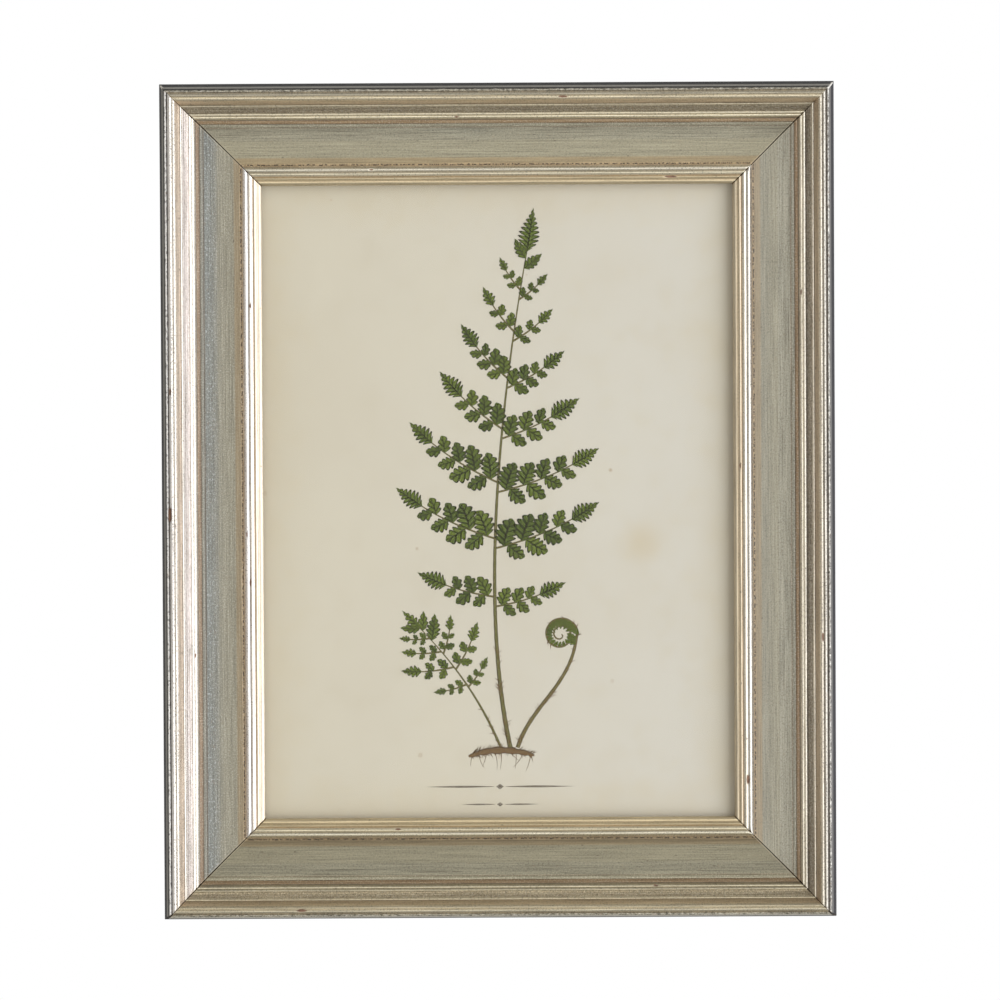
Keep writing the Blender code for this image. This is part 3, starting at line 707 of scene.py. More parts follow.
def raw_wood_material():
    m = Nodes("raw_pine")
    uv = m.uv("rail")
    A, S, _ = m.split(uv)
    p = m.node("ShaderNodeTexCoord").outputs["Object"]
    mm = m.vmul(p, (1000.0, 1000.0, 1000.0))
    high = m.attribute("high")["Fac"]
    rings = m.noise(m.join(m.mul(A, 0.16), m.mul(S, 0.006), m.mul(high, 0.16)), 1.0, 2.0, 0.5, 0.6)
    bands = m.math("FRACT", m.mul(rings, 9.0))
    late = m.mul(m.fit(bands, 0.35, 0.9), m.fit(bands, 1.0, 0.93))
    fibre = m.noise(m.join(m.mul(A, 5.0), m.mul(S, 0.11), m.mul(high, 4.0)), 1.0, 3.0, 0.65)
    blotch = m.noise(mm, 0.03, 2.0, 0.5)
    base = m.mix(m.fit(blotch, 0.35, 0.65), srgb(206, 173, 128), srgb(188, 152, 106))
    base = m.mix(m.mul(late, 0.55), base, srgb(160, 112, 66))
    base = m.mix(m.fit(fibre, 0.5, 0.8, 0.0, 0.4), base, srgb(132, 96, 60))
    over = m.mul(m.fit(A, 1.3, 0.2), m.fit(fibre, 0.45, 0.6))
    base = m.mix(m.mul(over, 0.85), base, srgb(50, 46, 44))
    m.set(
        Base_Color=base,
        Roughness=m.fit(fibre, 0.3, 0.8, 0.62, 0.8),
        Normal=m.bump(m.add(m.mul(fibre, 0.7), m.mul(late, 0.3)), 0.5, 0.00012),
    )
    return m.mat


def prism(bm, ring0, ring1):
    v0 = [bm.verts.new(Vector(p) * MM) for p in ring0]
    v1 = [bm.verts.new(Vector(p) * MM) for p in ring1]
    n = len(v0)
    bm.faces.new(v0)
    bm.faces.new(list(reversed(v1)))
    for i in range(n):
        j = (i + 1) % n
        bm.faces.new((v0[j], v0[i], v1[i], v1[j]))


def cut_pockets(obj, side):
    """The pockets of the part: slots for the steel points, and those of the V nails and the hanger's nails."""
    bm = bmesh.new()
    h1 = RABBET_D - GAP - 2.0 - GAP - 0.3 - GAP - 3.0 - GAP
    wall = FACE_W - RABBET_W
    half_w = 5.5 / 2 + GAP
    reach = 38.0 if side in ("top", "bottom") else 55.0
    for s in (-reach, reach):
        ring = [(wall - 5.3, -half_w), (wall - 5.3, half_w), (wall + 0.5, half_w), (wall + 0.5, -half_w)]
        prism(
            bm,
            [on_rail(side, a, h1 - 0.5 - GAP, s + w) for a, w in ring],
            [on_rail(side, a, h1 + GAP, s + w) for a, w in ring],
        )
    for name, (sx, sz) in {"top_left": (-1, 1), "top_right": (1, 1), "bottom_left": (-1, -1), "bottom_right": (1, -1)}.items():
        if side in name:
            lo, hi, end = -GAP, 0.5 + GAP, 5.0 + GAP
            outline = [(lo, lo), (end, lo), (end, hi), (hi, hi), (hi, end), (lo, end)]
            rings = [
                [(sx * (HALF_W - 8.0 - u), -(STAND_OFF + hh), Z_MID + sz * (HALF_H - 8.0 - w)) for u, w in outline]
                for hh in (-1.0, 7.0 + GAP)
            ]
            prism(bm, *rings)
    if side == "top":
        for sx in (-1, 1):
            rings = [
                [
                    (sx * 18.75 + math.cos(math.tau * k / 16), y, Z_TOP - 13.0 + math.sin(math.tau * k / 16))
                    for k in range(16)
                ]
                for y in (-(STAND_OFF + 8.3), -(STAND_OFF - 1.0))
            ]
            prism(bm, *rings)
    bmesh.ops.recalc_face_normals(bm, faces=bm.faces[:])
    mesh = bpy.data.meshes.new("pockets")
    bm.to_mesh(mesh)
    bm.free()
    for mat in obj.data.materials:
        mesh.materials.append(mat)
    mesh.polygons.foreach_set("material_index", [1] * len(mesh.polygons))
    cutter = bpy.data.objects.new("pockets", mesh)
    bpy.context.scene.collection.objects.link(cutter)
    mod = obj.modifiers.new("pockets", "BOOLEAN")
    mod.operation, mod.solver, mod.object = "DIFFERENCE", "EXACT", cutter
    dg = bpy.context.evaluated_depsgraph_get()
    done = bpy.data.meshes.new_from_object(obj.evaluated_get(dg))
    obj.modifiers.remove(mod)
    old = obj.data
    obj.data = done
    bpy.data.meshes.remove(old)
    bpy.data.objects.remove(cutter)
    done.name = obj.name


leaf, pine, lacquer = leaf_material(), raw_wood_material(), lacquer_material()
for side in SIDES:
    rail = rail_mesh(side)
    rail.data.materials.append(leaf)
    rail.data.materials.append(pine)
    rail.data.materials.append(lacquer)
    cut_pockets(rail, side)
    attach(rail, "root")
    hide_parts("rail_" + side)


# ------------------------------------------------------------------------------------------------ paper, glass, board
def paper_material():
    m = Nodes("aged_book_paper")
    p = m.object_mm()
    X, _, Z = m.split(p)
    flat = m.join(X, m.math("SUBTRACT", Z, Z_MID), 0.0)
    cloud = m.noise(flat, 0.016, 3.0, 0.55)
    mottle = m.noise(flat, 0.11, 4.0, 0.6)
    pulp = m.noise(flat, 2.6, 3.0, 0.7)
    grain = m.noise(flat, 9.0, 2.0, 0.6)
    # the sheet runs from warm on the left to cooler on the right, a painted tint of the cool light from the right
    across = m.fit(m.add(X, m.fit(cloud, 0.2, 0.8, -40.0, 40.0)), -75.0, 75.0)
    colour = m.mix(across, srgb(213, 203, 184), srgb(212, 205, 194))
    colour = m.mix(m.fit(cloud, 0.42, 0.68, 0.0, 0.35), colour, srgb(206, 193, 169))
    colour = m.mix(m.fit(mottle, 0.48, 0.72, 0.0, 0.30), colour, srgb(204, 193, 172))
    colour = m.mix(m.fit(pulp, 0.3, 0.7, 0.0, 0.12), colour, srgb(190, 182, 160))
    # darker towards the edges of the sheet: partly toning where the air gets in, partly painted shade under the lip
    half_x = m.math("SUBTRACT", 76.2, m.math("ABSOLUTE", X))
    half_z = m.math("SUBTRACT", 101.6, m.math("ABSOLUTE", m.math("SUBTRACT", Z, Z_MID)))
    near = m.add(m.math("MINIMUM", half_x, half_z), m.fit(mottle, 0.2, 0.8, -6.0, 6.0))
    colour = m.mix(m.fit(near, 22.0, 2.0, 0.0, 0.45), colour, srgb(201, 186, 157))
    # one old stain and a scatter of foxing
    stain = m.node("ShaderNodeVectorMath", operation="DISTANCE")
    m.put(stain.inputs[0], m.join(m.add(X, m.mul(mottle, 9.0)), Z, 0.0))
    m.put(stain.inputs[1], (48.0, Z_MID - 13.0, 0.0))
    colour = m.mix(m.mul(m.fit(stain.outputs["Value"], 9.0, 1.0), 0.28), colour, srgb(196, 172, 124))
    cell = m.voronoi(m.vmul(flat, (0.085, 0.085, 0.0)), 1.0)
    pick = m.node("ShaderNodeSeparateColor")
    m.put(pick.inputs[0], cell["Color"])
    size = m.fit(pick.outputs[0], 0.5, 1.0, 0.0, 0.075, smooth=False)
    fox = m.fit(m.math("SUBTRACT", m.add(cell["Distance"], m.mul(m.math("SUBTRACT", pulp, 0.5), 0.03)), size), 0.015, -0.02)
    fox = m.mul(fox, m.math("GREATER_THAN", pick.outputs[0], 0.55))
    colour = m.mix(m.mul(fox, m.fit(pick.outputs[1], 0.0, 1.0, 0.10, 0.45)), colour, srgb(162, 130, 88))
    m.set(
        Base_Color=colour,
        Roughness=m.fit(grain, 0.3, 0.7, 0.78, 0.92),
        Normal=m.bump(m.add(m.mul(pulp, 0.7), m.mul(grain, 0.3)), 0.25, 0.00006),
    )
    m.shader.inputs["Specular IOR Level"].default_value = 0.25
    return m.mat


def glass_material():
    """Thin picture glass: it lets the light straight through, and mirrors a little of the room, more at a slant."""
    m = Nodes("picture_glass")
    m.tree.nodes.remove(m.shader)
    clear = m.node("ShaderNodeBsdfTransparent")
    clear.inputs["Color"].default_value = (0.985, 0.992, 0.988, 1.0)
    gloss = m.node("ShaderNodeBsdfGlossy")
    gloss.inputs["Color"].default_value = (1.0, 1.0, 1.0, 1.0)
    smear = m.noise(m.object_mm(), 0.05, 3.0, 0.6)
    m.put(gloss.inputs["Roughness"], m.fit(smear, 0.3, 0.8, 0.02, 0.08))
    slant = m.node("ShaderNodeLayerWeight")
    slant.inputs["Blend"].default_value = 0.5
    mirror = m.add(m.mul(m.math("POWER", slant.outputs["Facing"], 5.0), 0.55), 0.008)
    both = m.node("ShaderNodeMixShader")
    m.put(both.inputs[0], mirror)
    m.tree.links.new(clear.outputs[0], both.inputs[1])
    m.tree.links.new(gloss.outputs[0], both.inputs[2])
    m.tree.links.new(both.outputs[0], m.out.inputs["Surface"])
    return m.mat


def hardboard_material():
    m = Nodes("hardboard_mesh_side")
    p = m.object_mm()
    X, Y, Z = m.split(p)
    wires = m.mul(
        m.math("SINE", m.mul(X, math.tau / 1.25)),
        m.math("SINE", m.mul(Z, math.tau / 1.25)),
    )
    pulp = m.noise(p, 1.3, 4.0, 0.7)
    cloud = m.noise(p, 0.03, 3.0, 0.5)
    fibre = m.noise(m.join(m.mul(X, 1.0), Y, m.mul(Z, 0.35)), 3.0, 3.0, 0.7)
    colour = m.mix(m.fit(cloud, 0.3, 0.7), srgb(122, 86, 56), srgb(140, 102, 68))
    colour = m.mix(m.fit(pulp, 0.45, 0.75, 0.0, 0.5), colour, srgb(94, 64, 42))
    colour = m.mix(m.fit(fibre, 0.6, 0.8, 0.0, 0.4), colour, srgb(170, 134, 96))
    colour = m.mix(m.fit(wires, 0.2, 1.0, 0.0, 0.22), colour, srgb(84, 56, 36))
    m.set(
        Base_Color=colour,
        Roughness=m.fit(pulp, 0.3, 0.7, 0.72, 0.88),
        Normal=m.bump(m.add(m.mul(wires, 0.5), m.mul(pulp, 0.5)), 0.5, 0.00022),
    )
    return m.mat


def steel_material(name, colour, tint, rough, stretch):
    m = Nodes(name)
    p = m.object_mm()
    X, Y, Z = m.split(p)
    brushed = m.noise(m.join(m.mul(X, stretch[0]), m.mul(Y, stretch[1]), m.mul(Z, stretch[2])), 1.0, 3.0, 0.6)
    cloud = m.noise(p, 0.35, 3.0, 0.6)
    spots = m.noise(p, 2.2, 3.0, 0.7)
    base = m.mix(m.fit(cloud, 0.35, 0.68), colour, tint)
    base = m.mix(m.fit(spots, 0.62, 0.72, 0.0, 0.55), base, srgb(94, 76, 60))
    m.set(
        Base_Color=base,
        Metallic=m.fit(spots, 0.60, 0.72, 1.0, 0.55),
        Roughness=m.add(m.fit(brushed, 0.3, 0.7, rough - 0.07, rough + 0.1), m.fit(spots, 0.6, 0.72, 0.0, 0.2)),
        Normal=m.bump(brushed, 0.3, 0.00004),
    )
    return m.mat


def rubber_material():
    m = Nodes("black_rubber")
    p = m.object_mm()
    fine = m.noise(p, 5.0, 3.0, 0.7)
    dust = m.noise(p, 0.8, 4.0, 0.7)
    m.set(
        Base_Color=m.mix(m.fit(dust, 0.45, 0.75), srgb(36, 36, 38), srgb(66, 64, 62)),
        Roughness=m.fit(dust, 0.3, 0.7, 0.5, 0.78),
        Normal=m.bump(fine, 0.4, 0.00005),
    )
    return m.mat


def finish_node(name, mat):
    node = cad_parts[name]
    for s in node.material_slots:
        s.material = mat
    if not node.material_slots:
        node.data.materials.append(mat)


finish_node("print_sheet", paper_material())
finish_node("glass_pane", glass_material())
finish_node("backing_board", hardboard_material())
point_steel = steel_material("spring_steel", srgb(176, 178, 180), srgb(150, 152, 154), 0.36, (0.6, 3.0, 4.0))
nail_steel = steel_material("blued_steel", srgb(120, 122, 126), srgb(96, 96, 100), 0.42, (3.0, 0.4, 3.0))
zinc = steel_material("yellow_zinc", srgb(206, 186, 136), srgb(190, 176, 150), 0.30, (0.5, 3.0, 3.5))
rubber = rubber_material()
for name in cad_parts:
    if name.startswith("point_"):
        finish_node(name, point_steel)
    elif name.startswith("v_nail_"):
        finish_node(name, nail_steel)
    elif name.startswith(("sawtooth", "hanger_nail")):
        finish_node(name, zinc)
    elif name.startswith("bumper"):
        finish_node(name, rubber)


# ------------------------------------------------------------------------------------------------ the printed fern
rng = random.Random(4217)


class Ink:
    """Flat shapes on the sheet: u to the right and v up from its middle, lift over the paper."""

    def __init__(self, name):
        self.name, self.co, self.faces, self.uv, self.tint = name, [], [], [], []

    def grid(self, rows, tint, lift):
        """rows is a list of rows of (u, v, map x, map y), all of one length."""
        start, width = len(self.co), len(rows[0])
        for row in rows:
            for u, v, mx, my in row:
                self.co.append((u * MM, -(STAND_OFF + SHEET_FRONT + lift) * MM, (Z_MID + v) * MM))
                self.uv.append((mx, my))
                self.tint.append(tint)
        for j in range(len(rows) - 1):
            for i in range(width - 1):
                q = start + j * width + i
                self.faces.append((q, q + 1, q + width + 1, q + width))

    def build(self, mat):
        mesh = bpy.data.meshes.new(self.name)
        mesh.from_pydata(self.co, [], self.faces)
        # every face is turned to the front
        flip = [p.index for p in mesh.polygons if p.normal.y > 0]
        if flip:
            bm = bmesh.new()
            bm.from_mesh(mesh)
            bm.faces.ensure_lookup_table()
            bmesh.ops.reverse_faces(bm, faces=[bm.faces[i] for i in flip])
            bm.to_mesh(mesh)
            bm.free()
        layer = mesh.uv_layers.new(name="ink")
        for loop in mesh.loops:
            layer.data[loop.index].uv = self.uv[loop.vertex_index]
        t = mesh.attributes.new("tint", "FLOAT", "POINT")
        t.data.foreach_set("value", self.tint)
        mesh.materials.append(mat)
        obj = bpy.data.objects.new(self.name, mesh)
        bpy.context.scene.collection.objects.link(obj)
        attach(obj, "root")
        return obj


class Path:
    """A plane curve through sampled points, read by its length."""

    def __init__(self, points):
        self.p = np.array(points, float)
        d = np.linalg.norm(np.diff(self.p, axis=0), axis=1)
        self.s = np.concatenate([[0], np.cumsum(d)])
        self.length = self.s[-1]

    def at(self, s):
        s = min(max(s, 0.0), self.length)
        return np.array([np.interp(s, self.s, self.p[:, k]) for k in (0, 1)])

    def angle(self, s):
        a, b = self.at(s - 0.15), self.at(s + 0.15)
        return math.atan2(b[1] - a[1], b[0] - a[0])


def bezier(p0, p1, p2, p3, n=160):
    p = np.array([p0, p1, p2, p3], float)
    t = np.linspace(0, 1, n)[:, None]
    return Path(p[0] * (1 - t) ** 3 + 3 * p[1] * t * (1 - t) ** 2 + 3 * p[2] * t * t * (1 - t) + p[3] * t**3)


def arc(start, angle, length, bend, n=40, power=1.0):
    """A path that leaves start at an angle and turns by bend over its length."""
    pts, p = [np.array(start, float)], np.array(start, float)
    for i in range(n):
        f = ((i + 0.5) / n) ** power
        t = angle + bend * f
        p = p + length / n * np.array([math.cos(t), math.sin(t)])
        pts.append(p)
    return Path(pts)


leaves, stems = Ink("fern_leaves"), Ink("fern_stems")
leaf_no = 0


def stem(path, s0, s1, w0, w1, tint, lift, taper=1.0, wobble=0.05, ink=stems):
    n = max(3, int((s1 - s0) / 0.7))
    rows = []
    for i in range(n + 1):
        f = i / n
        s = s0 + (s1 - s0) * f
        w = (w0 + (w1 - w0) * f**taper) / 2 * (1 + wobble * math.sin(s * 1.7 + w0 * 9))
        c, t = path.at(s), path.angle(s)
        nx, ny = -math.sin(t), math.cos(t)
        rows.append([(c[0] + nx * w * k, c[1] + ny * w * k, s, k) for k in (-1.0, -0.35, 0.35, 1.0)])
    ink.grid(rows, tint, lift)


def leaflet(base, angle, length, width, teeth, bend, tint, point=0.5, lobes=0.16, side=1):
    """A toothed leaf blade with its midrib along an arc. The map's x runs along it in teeth, its y from -1 to 1 across."""
    global leaf_no
    leaf_no += 1
    rib = arc(base, angle, length, bend, 14)
    per = 6
    n = teeth * per
    rows = []
    for i in range(n + 1):
        f = i / n
        body = math.sin(math.pi * min(1.0, f ** (0.86 - 0.22 * point) * 0.985 + 0.012)) ** (0.55 + 0.75 * point)
        body *= 1.0 - 0.25 * point * f
        row = []
        for k in (-1, 1):
            phase = (f * teeth + (0.5 if k > 0 else 0.0)) % 1.0
            tooth = math.sin(math.pi * phase**1.25) ** 0.7
            reach = width / 2 * body * (1 - lobes + lobes * 1.5 * tooth) * (1.06 if k == side else 0.94)
            forward = length * 0.045 * tooth * (1 - f)
            row.append((reach, forward))
        s = f * length
        c, t = rib.at(s), rib.angle(s)
        dx, dy = math.cos(t), math.sin(t)
        nx, ny = -dy, dx
        cells = []
        for k, (reach, forward) in ((-1, row[0]), (1, row[1])):
            outer = (c[0] + nx * reach * k + dx * forward, c[1] + ny * reach * k + dy * forward, f * teeth, float(k))
            inner = (c[0] + nx * reach * k * 0.5 + dx * forward * 0.4, c[1] + ny * reach * k * 0.5 + dy * forward * 0.4, f * teeth, 0.5 * k)
            cells.append((outer, inner))
        middle = (c[0], c[1], f * teeth, 0.0)
        rows.append([cells[0][0], cells[0][1], middle, cells[1][1], cells[1][0]])
    leaves.grid(rows, tint, 0.035 + (leaf_no % 17) * 0.004)


def pinna(base, angle, length, up, tone, cut=1.0):
    """A leaf branch. up is +1 where the frond's tip lies to the left of its direction, else -1."""
    if length < 8.5:
        leaflet(base, angle, length, length * 0.50, max(3, int(length / 1.25)), up * 0.22, tone + rng.uniform(-0.1, 0.1), 0.55, 0.30, up)
        return
    axis = arc(base, angle, length, up * 0.38, 40, 1.3)
    pairs = max(2, int(round(length / 7.9 * cut)))
    blade_from = 0.74 - 0.10 * (pairs < 4)
    stem(axis, 0.0, length * (blade_from + 0.06), 0.62, 0.34, 0.35, 0.020)
    for i in range(pairs):
        f = (i + 0.55) / (pairs + 0.35) * blade_from
        size = (1 - f) ** 0.66 * (0.385 * length**0.93) * (0.92 if i == 0 else 1.0)
        size = min(size, 9.4)
        for side in (1, -1):
            here = f + (0.030 if side != up else -0.012)
            l = size * (1.0 if side == up else 0.90) * rng.uniform(0.93, 1.06)
            if i == 0 and side != up and length > 20:
                l *= 0.86
            spread = math.radians(66 - 20 * f + rng.uniform(-4, 4))
            p, t = axis.at(here * length), axis.angle(here * length)
            leaflet(
                p,
                t + side * spread,
                l,
                l * rng.uniform(0.64, 0.72),
                max(3, int(round(l / 1.6))),
                -side * 0.35,
                tone + rng.uniform(-0.22, 0.22),
                0.12,
                0.30,
                side,
            )
    p, t = axis.at(blade_from * length), axis.angle(blade_from * length)
    rest = length * (1 - blade_from) * 1.16
    leaflet(p, t, rest, rest * 0.52, max(4, int(rest / 1.2)), up * 0.12, tone + rng.uniform(-0.1, 0.1), 0.8, 0.44, up)


def frond(path, first, last, pairs, longest, widest_at, tone, spread0=78, spread1=38, thick=(1.25, 0.30), cut=1.0):
    """A whole frond along a path. Branch pairs stand from first to last, as shares of its length."""
    n = pairs
    for i in range(n):
        g = i / (n - 1)
        f = first + (last - first) * (1 - (1 - g) ** 1.22)
        x = (f - first) / (1 - first)
        if x < widest_at:
            size = longest * (0.66 + 0.34 * math.sin(math.pi / 2 * x / widest_at))
        else:
            size = longest * ((1 - x) / (1 - widest_at)) ** 0.92
        for side in (1, -1):
            fs = f + (0.010 if side > 0 else -0.008)
            p, t = path.at(fs * path.length), path.angle(fs * path.length)
            spread = math.radians(spread0 + (spread1 - spread0) * x + rng.uniform(-3, 3))
            pinna(p, t + side * spread, max(2.4, size * rng.uniform(0.95, 1.05)), -side, tone + rng.uniform(-0.1, 0.1), cut)
    s = (last + 0.022) * path.length
    rest = path.length - s
    leaflet(path.at(s), path.angle(s), rest, rest * 0.42, max(5, int(rest / 1.3)), 0.05, tone, 0.9, 0.50, 1)
    stem(path, 0.0, path.length * (last + 0.03), thick[0], thick[1], 0.2, 0.024, 0.9)


def scales(path, s0, s1, count, size):
    """Papery brown scales along the foot of a stalk."""
    for _ in range(count):
        s = s0 + (s1 - s0) * rng.random() ** 1.25
        side = rng.choice((-1, 1))
        p, t = path.at(s), path.angle(s)
        l = size * rng.uniform(0.6, 1.25)
        blade = arc(p, t + side * math.radians(rng.uniform(28, 70)), l, side * rng.uniform(-0.6, 0.3), 6)
        rows = []
        for i in range(7):
            f = i / 6
            c, q = blade.at(f * l), blade.angle(f * l)
            w = 0.17 * (1 - f) ** 0.8 + 0.012
            rows.append([(c[0] - math.sin(q) * w * k, c[1] + math.cos(q) * w * k, s, k) for k in (-1.0, 0.0, 1.0)])
        stems.grid(rows, 0.9, 0.028)


main = bezier((3.2, -75.0), (-5.5, -34.0), (-1.0, 26.0), (11.5, 89.0))
young = bezier((0.6, -75.5), (-5.5, -61.0), (-13.0, -49.0), (-29.5, -33.0))
frond(main, 0.27, 0.895, 8, 34.0, 0.22, 0.50, 82, 40, (1.45, 0.32))
frond(young, 0.42, 0.84, 5, 15.0, 0.25, 0.62, 76, 42, (0.85, 0.26), 1.1)
scales(main, 1.0, 30.0, 34, 1.9)
scales(young, 1.0, 14.0, 10, 1.4)

# a young frond still rolled up
up_stalk = bezier((5.4, -75.0), (9.5, -62.0), (22.0, -56.0), (23.5, -41.0))
turn, coil = [], 2.05 * math.tau
eye = np.array([18.6, -40.6])
start = math.atan2(*(up_stalk.p[-1] - eye)[::-1])
for i in range(150):
    f = i / 149
    r = 4.95 * (1 - f) ** 0.82 + 0.35
    turn.append(eye + r * np.array([math.cos(start + coil * f), math.sin(start + coil * f)]))
roll = Path(turn)
crozier = Path(np.vstack([up_stalk.p, roll.p[1:]]))
stem(crozier, 0.0, crozier.length, 1.25, 0.45, 0.45, 0.024, 1.2)
for i in range(26):
    f = i / 25
    s = up_stalk.length * 0.93 + (roll.length * 0.93) * f
    p, t = crozier.at(s), crozier.angle(s)
    l = 2.5 * (1 - f) ** 0.7 + 0.6
    leaflet(p, t + math.radians(48), l, l * 0.62, 3, 0.9, 0.75 + rng.uniform(-0.15, 0.15), 0.3, 0.3, 1)
scales(crozier, 1.0, up_stalk.length + 22.0, 46, 1.7)

# the foot that they grow from, and its roots
foot = bezier((-9.5, -77.6), (-3.0, -75.0), (4.0, -75.2), (10.5, -77.4), 60)
for k in range(9):
    s = 1.2 + k * (foot.length - 2.4) / 8
    p = foot.at(s)
    root = arc(p, math.radians(-90 + rng.uniform(-38, 38)), rng.uniform(3.4, 6.4), rng.uniform(-0.8, 0.8), 20)
    stem(root, 0.0, root.length, 0.26, 0.08, 0.95, 0.016)
rows = []
for i in range(33):
    f = i / 32
    c, t = foot.at(f * foot.length), foot.angle(f * foot.length)
    w = 1.05 * math.sin(math.pi * (0.04 + 0.92 * f)) ** 0.6 * (1 + 0.16 * math.sin(f * 31) + 0.08 * math.sin(f * 67))
    rows.append([(c[0] - math.sin(t) * w * k, c[1] + math.cos(t) * w * k, f * foot.length, k) for k in (-1.0, -0.4, 0.4, 1.0)])
stems.grid(rows, 1.0, 0.030)
scales(foot, 0.4, foot.length - 0.4, 110, 2.1)


def leaf_ink():
    m = Nodes("green_ink")
    n, v, _ = m.split(m.uv("ink"))
    tint = m.attribute("tint")["Fac"]
    p = m.object_mm()
    av = m.math("ABSOLUTE", v)
    cloud = m.noise(p, 0.25, 3.0, 0.6)
    stroke = m.noise(p, 1.7, 3.0, 0.7)
    # veins rise from the midrib towards the teeth, and fine strokes run between them
    run = m.math("SUBTRACT", n, m.mul(av, 0.85))
    vein = m.math("ABSOLUTE", m.math("SUBTRACT", m.math("FRACT", m.add(run, m.fit(v, -0.01, 0.01, 0.0, 0.5))), 0.5))
    veins = m.mul(m.fit(vein, 0.19, 0.08), m.fit(av, 1.0, 0.8, 0.3, 1.0))
    fine = m.math("SINE", m.mul(m.add(run, m.mul(stroke, 0.12)), math.tau * 3.0))
    lights = m.mul(m.fit(fine, 0.1, 0.9), m.fit(av, 0.95, 0.55))
    rib = m.fit(av, 0.15, 0.06)
    rim = m.fit(m.add(av, m.mul(m.math("SUBTRACT", stroke, 0.5), 0.16)), 0.76, 0.90)
    base = m.mix(m.fit(m.add(cloud, m.mul(m.math("SUBTRACT", tint, 0.5), 0.9)), 0.25, 0.8), srgb(52, 63, 16), srgb(93, 103, 34))
    base = m.mix(m.mul(lights, m.fit(stroke, 0.35, 0.60, 0.2, 0.9)), base, srgb(142, 160, 74))
    base = m.mix(m.mul(veins, 0.85), base, srgb(31, 29, 9))
    base = m.mix(m.mul(rib, 0.9), base, srgb(33, 27, 11))
    base = m.mix(m.mul(rim, 0.92), base, srgb(32, 23, 9))
    m.set(Base_Color=base, Roughness=m.fit(stroke, 0.3, 0.7, 0.72, 0.86), Normal=m.bump(stroke, 0.2, 0.00003))
    m.shader.inputs["Specular IOR Level"].default_value = 0.25
    return m.mat


def stem_ink():
    m = Nodes("brown_ink")
    s, v, _ = m.split(m.uv("ink"))
    tint = m.attribute("tint")["Fac"]
    p = m.object_mm()
    grain = m.noise(m.join(m.mul(s, 0.7), m.mul(v, 1.4), 0.0), 1.0, 3.0, 0.7)
    press = m.noise(p, 1.4, 3.0, 0.7)
    base = m.mix(m.fit(tint, 0.15, 0.95), srgb(100, 98, 54), srgb(112, 84, 54))
    base = m.mix(m.fit(grain, 0.4, 0.7, 0.0, 0.5), base, srgb(140, 122, 84))
    edge = m.fit(m.math("ABSOLUTE", m.add(v, 0.12)), 0.45, 0.85)
    base = m.mix(m.mul(edge, 0.75), base, srgb(68, 50, 30))
    base = m.mix(m.fit(press, 0.6, 0.75, 0.0, 0.3), base, srgb(150, 136, 104))
    m.set(Base_Color=base, Roughness=m.fit(press, 0.3, 0.7, 0.74, 0.88), Normal=m.bump(press, 0.2, 0.00003))
    m.shader.inputs["Specular IOR Level"].default_value = 0.25
    return m.mat


def rule_ink():
    m = Nodes("grey_brown_ink")
    p = m.object_mm()
    press = m.noise(p, 2.4, 3.0, 0.75)
    base = m.mix(m.fit(press, 0.4, 0.72), srgb(108, 98, 86), srgb(158, 148, 130))
    m.set(Base_Color=base, Roughness=m.fit(press, 0.3, 0.7, 0.74, 0.88), Normal=m.bump(press, 0.2, 0.00003))
    m.shader.inputs["Specular IOR Level"].default_value = 0.25
    return m.mat


leaves.build(leaf_ink())
stems.build(stem_ink())

# printer's rules in place of a caption
rules = Ink("printed_rules")


def swelled_rule(v, half, thick, gap):
    """A rule that swells to its middle on each side of a small lozenge."""
    for side in (-1, 1):
        rows = []
        for i in range(41):
            f = i / 40
            u = side * (gap + (half - gap) * f)
            w = thick / 2 * (0.10 + 0.90 * math.sin(math.pi * (0.08 + 0.92 * f)) ** 1.3)
            rows.append([(u, v + w * k, f, k) for k in (-1.0, 1.0)])
        rules.grid(rows, 0.5, 0.02)
    r = gap * 0.62
    rules.grid([[(-r, v, 0, 0), (0, v - r * 0.72, 0, 0)], [(0, v + r * 0.72, 0, 0), (r, v, 0, 0)]], 0.5, 0.02)


swelled_rule(-86.8, 22.3, 0.62, 1.9)
swelled_rule(-92.2, 11.6, 0.48, 1.5)
rules.build(rule_ink())


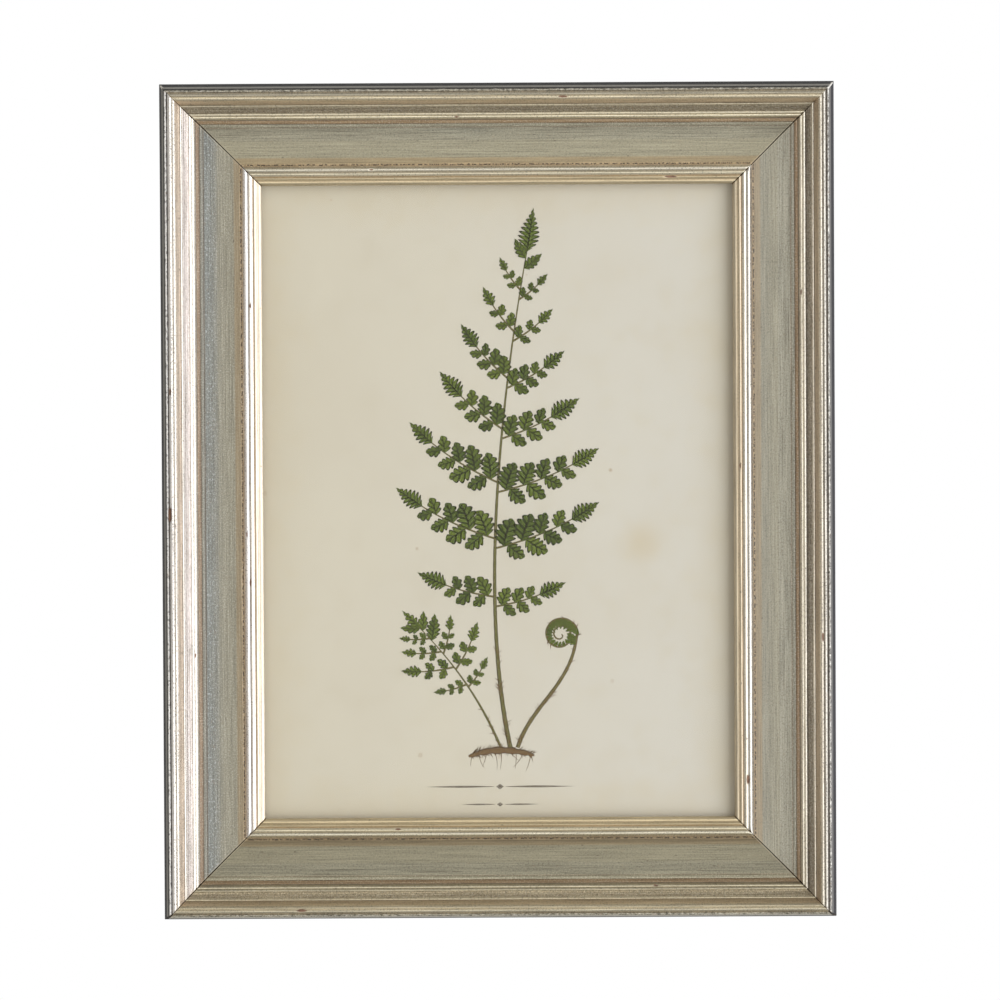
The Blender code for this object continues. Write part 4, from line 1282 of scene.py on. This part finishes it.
# ------------------------------------------------------------------------------------------------ studio
def studio():
    scene = bpy.context.scene
    world = bpy.data.worlds.new("studio")
    scene.world = world
    world.use_nodes = True
    tree = world.node_tree
    tree.nodes.clear()
    out = tree.nodes.new("ShaderNodeOutputWorld")
    seen = tree.nodes.new("ShaderNodeBackground")
    seen.inputs[0].default_value = (1, 1, 1, 1)
    seen.inputs[1].default_value = 1.0
    room = tree.nodes.new("ShaderNodeBackground")
    room.inputs[0].default_value = (1.0, 0.98, 0.93, 1)
    room.inputs[1].default_value = 0.43
    path = tree.nodes.new("ShaderNodeLightPath")
    mix = tree.nodes.new("ShaderNodeMixShader")
    tree.links.new(path.outputs["Is Camera Ray"], mix.inputs[0])
    tree.links.new(room.outputs[0], mix.inputs[1])
    tree.links.new(seen.outputs[0], mix.inputs[2])
    tree.links.new(mix.outputs[0], out.inputs[0])

    middle = Vector((0, -0.013, Z_MID * MM))

    def softbox(name, azimuth, elevation, distance, size, radiance, colour):
        a, e = math.radians(azimuth), math.radians(elevation)
        d = Vector((math.sin(a) * math.cos(e), -math.cos(a) * math.cos(e), math.sin(e)))
        data = bpy.data.lights.new(name, "AREA")
        data.shape = "RECTANGLE"
        data.size, data.size_y = size
        data.energy = radiance * math.pi * size[0] * size[1]
        data.color = colour
        lamp = bpy.data.objects.new(name, data)
        lamp.location = middle + d * distance
        lamp.rotation_euler = d.to_track_quat("Z", "Y").to_euler()
        lamp.visible_camera = False
        scene.collection.objects.link(lamp)

    softbox("window_right", 57, 0, 1.6, (2.3, 2.3), 2.55, (0.955, 0.985, 1.06))
    softbox("front_fill", -4, -3, 2.4, (1.9, 1.8), 0.95, (1.0, 0.98, 0.93))

    bm = bmesh.new()
    bmesh.ops.create_circle(bm, cap_ends=True, segments=128, radius=7.0)
    mesh = bpy.data.meshes.new("floor")
    bm.to_mesh(mesh)
    bm.free()
    floor = bpy.data.objects.new("floor", mesh)
    floor.location = (0, 0, -1.45)
    floor.visible_diffuse = floor.visible_glossy = False
    scene.collection.objects.link(floor)
    m = Nodes("pale_floor")
    speck = m.noise(m.object_mm(), 0.02, 4.0, 0.6)
    m.set(Base_Color=m.mix(m.fit(speck, 0.3, 0.7), (0.80, 0.80, 0.80), (0.84, 0.84, 0.835)), Roughness=0.8)
    m.shader.inputs["Emission Color"].default_value = (1, 1, 1, 1)
    m.shader.inputs["Emission Strength"].default_value = 0.48
    floor.data.materials.append(m.mat)

    # the camera, straight before the frame and a little above its middle
    data = bpy.data.cameras.new("camera")
    cam = bpy.data.objects.new("camera", data)
    scene.collection.objects.link(cam)
    scene.camera = cam
    target = Vector((0.00045, -STAND_OFF * MM, (Z_MID + 0.095) * MM))
    a, e, far = math.radians(0.0), math.radians(2.1), 2.222
    d = Vector((math.sin(a) * math.cos(e), -math.cos(a) * math.cos(e), math.sin(e)))
    cam.location = target + d * far
    look = d.to_track_quat("Z", "Y")
    roll = math.radians(-0.30)
    from mathutils import Quaternion

    cam.rotation_mode = "QUATERNION"
    cam.rotation_quaternion = look @ Quaternion((0, 0, 1), roll)
    data.sensor_width = 36.0
    data.lens = 36.0 * far / 0.3047
    data.clip_start, data.clip_end = 0.05, 30.0
    scene.view_settings.view_transform = "Standard"
    scene.view_settings.look = "None"


studio()
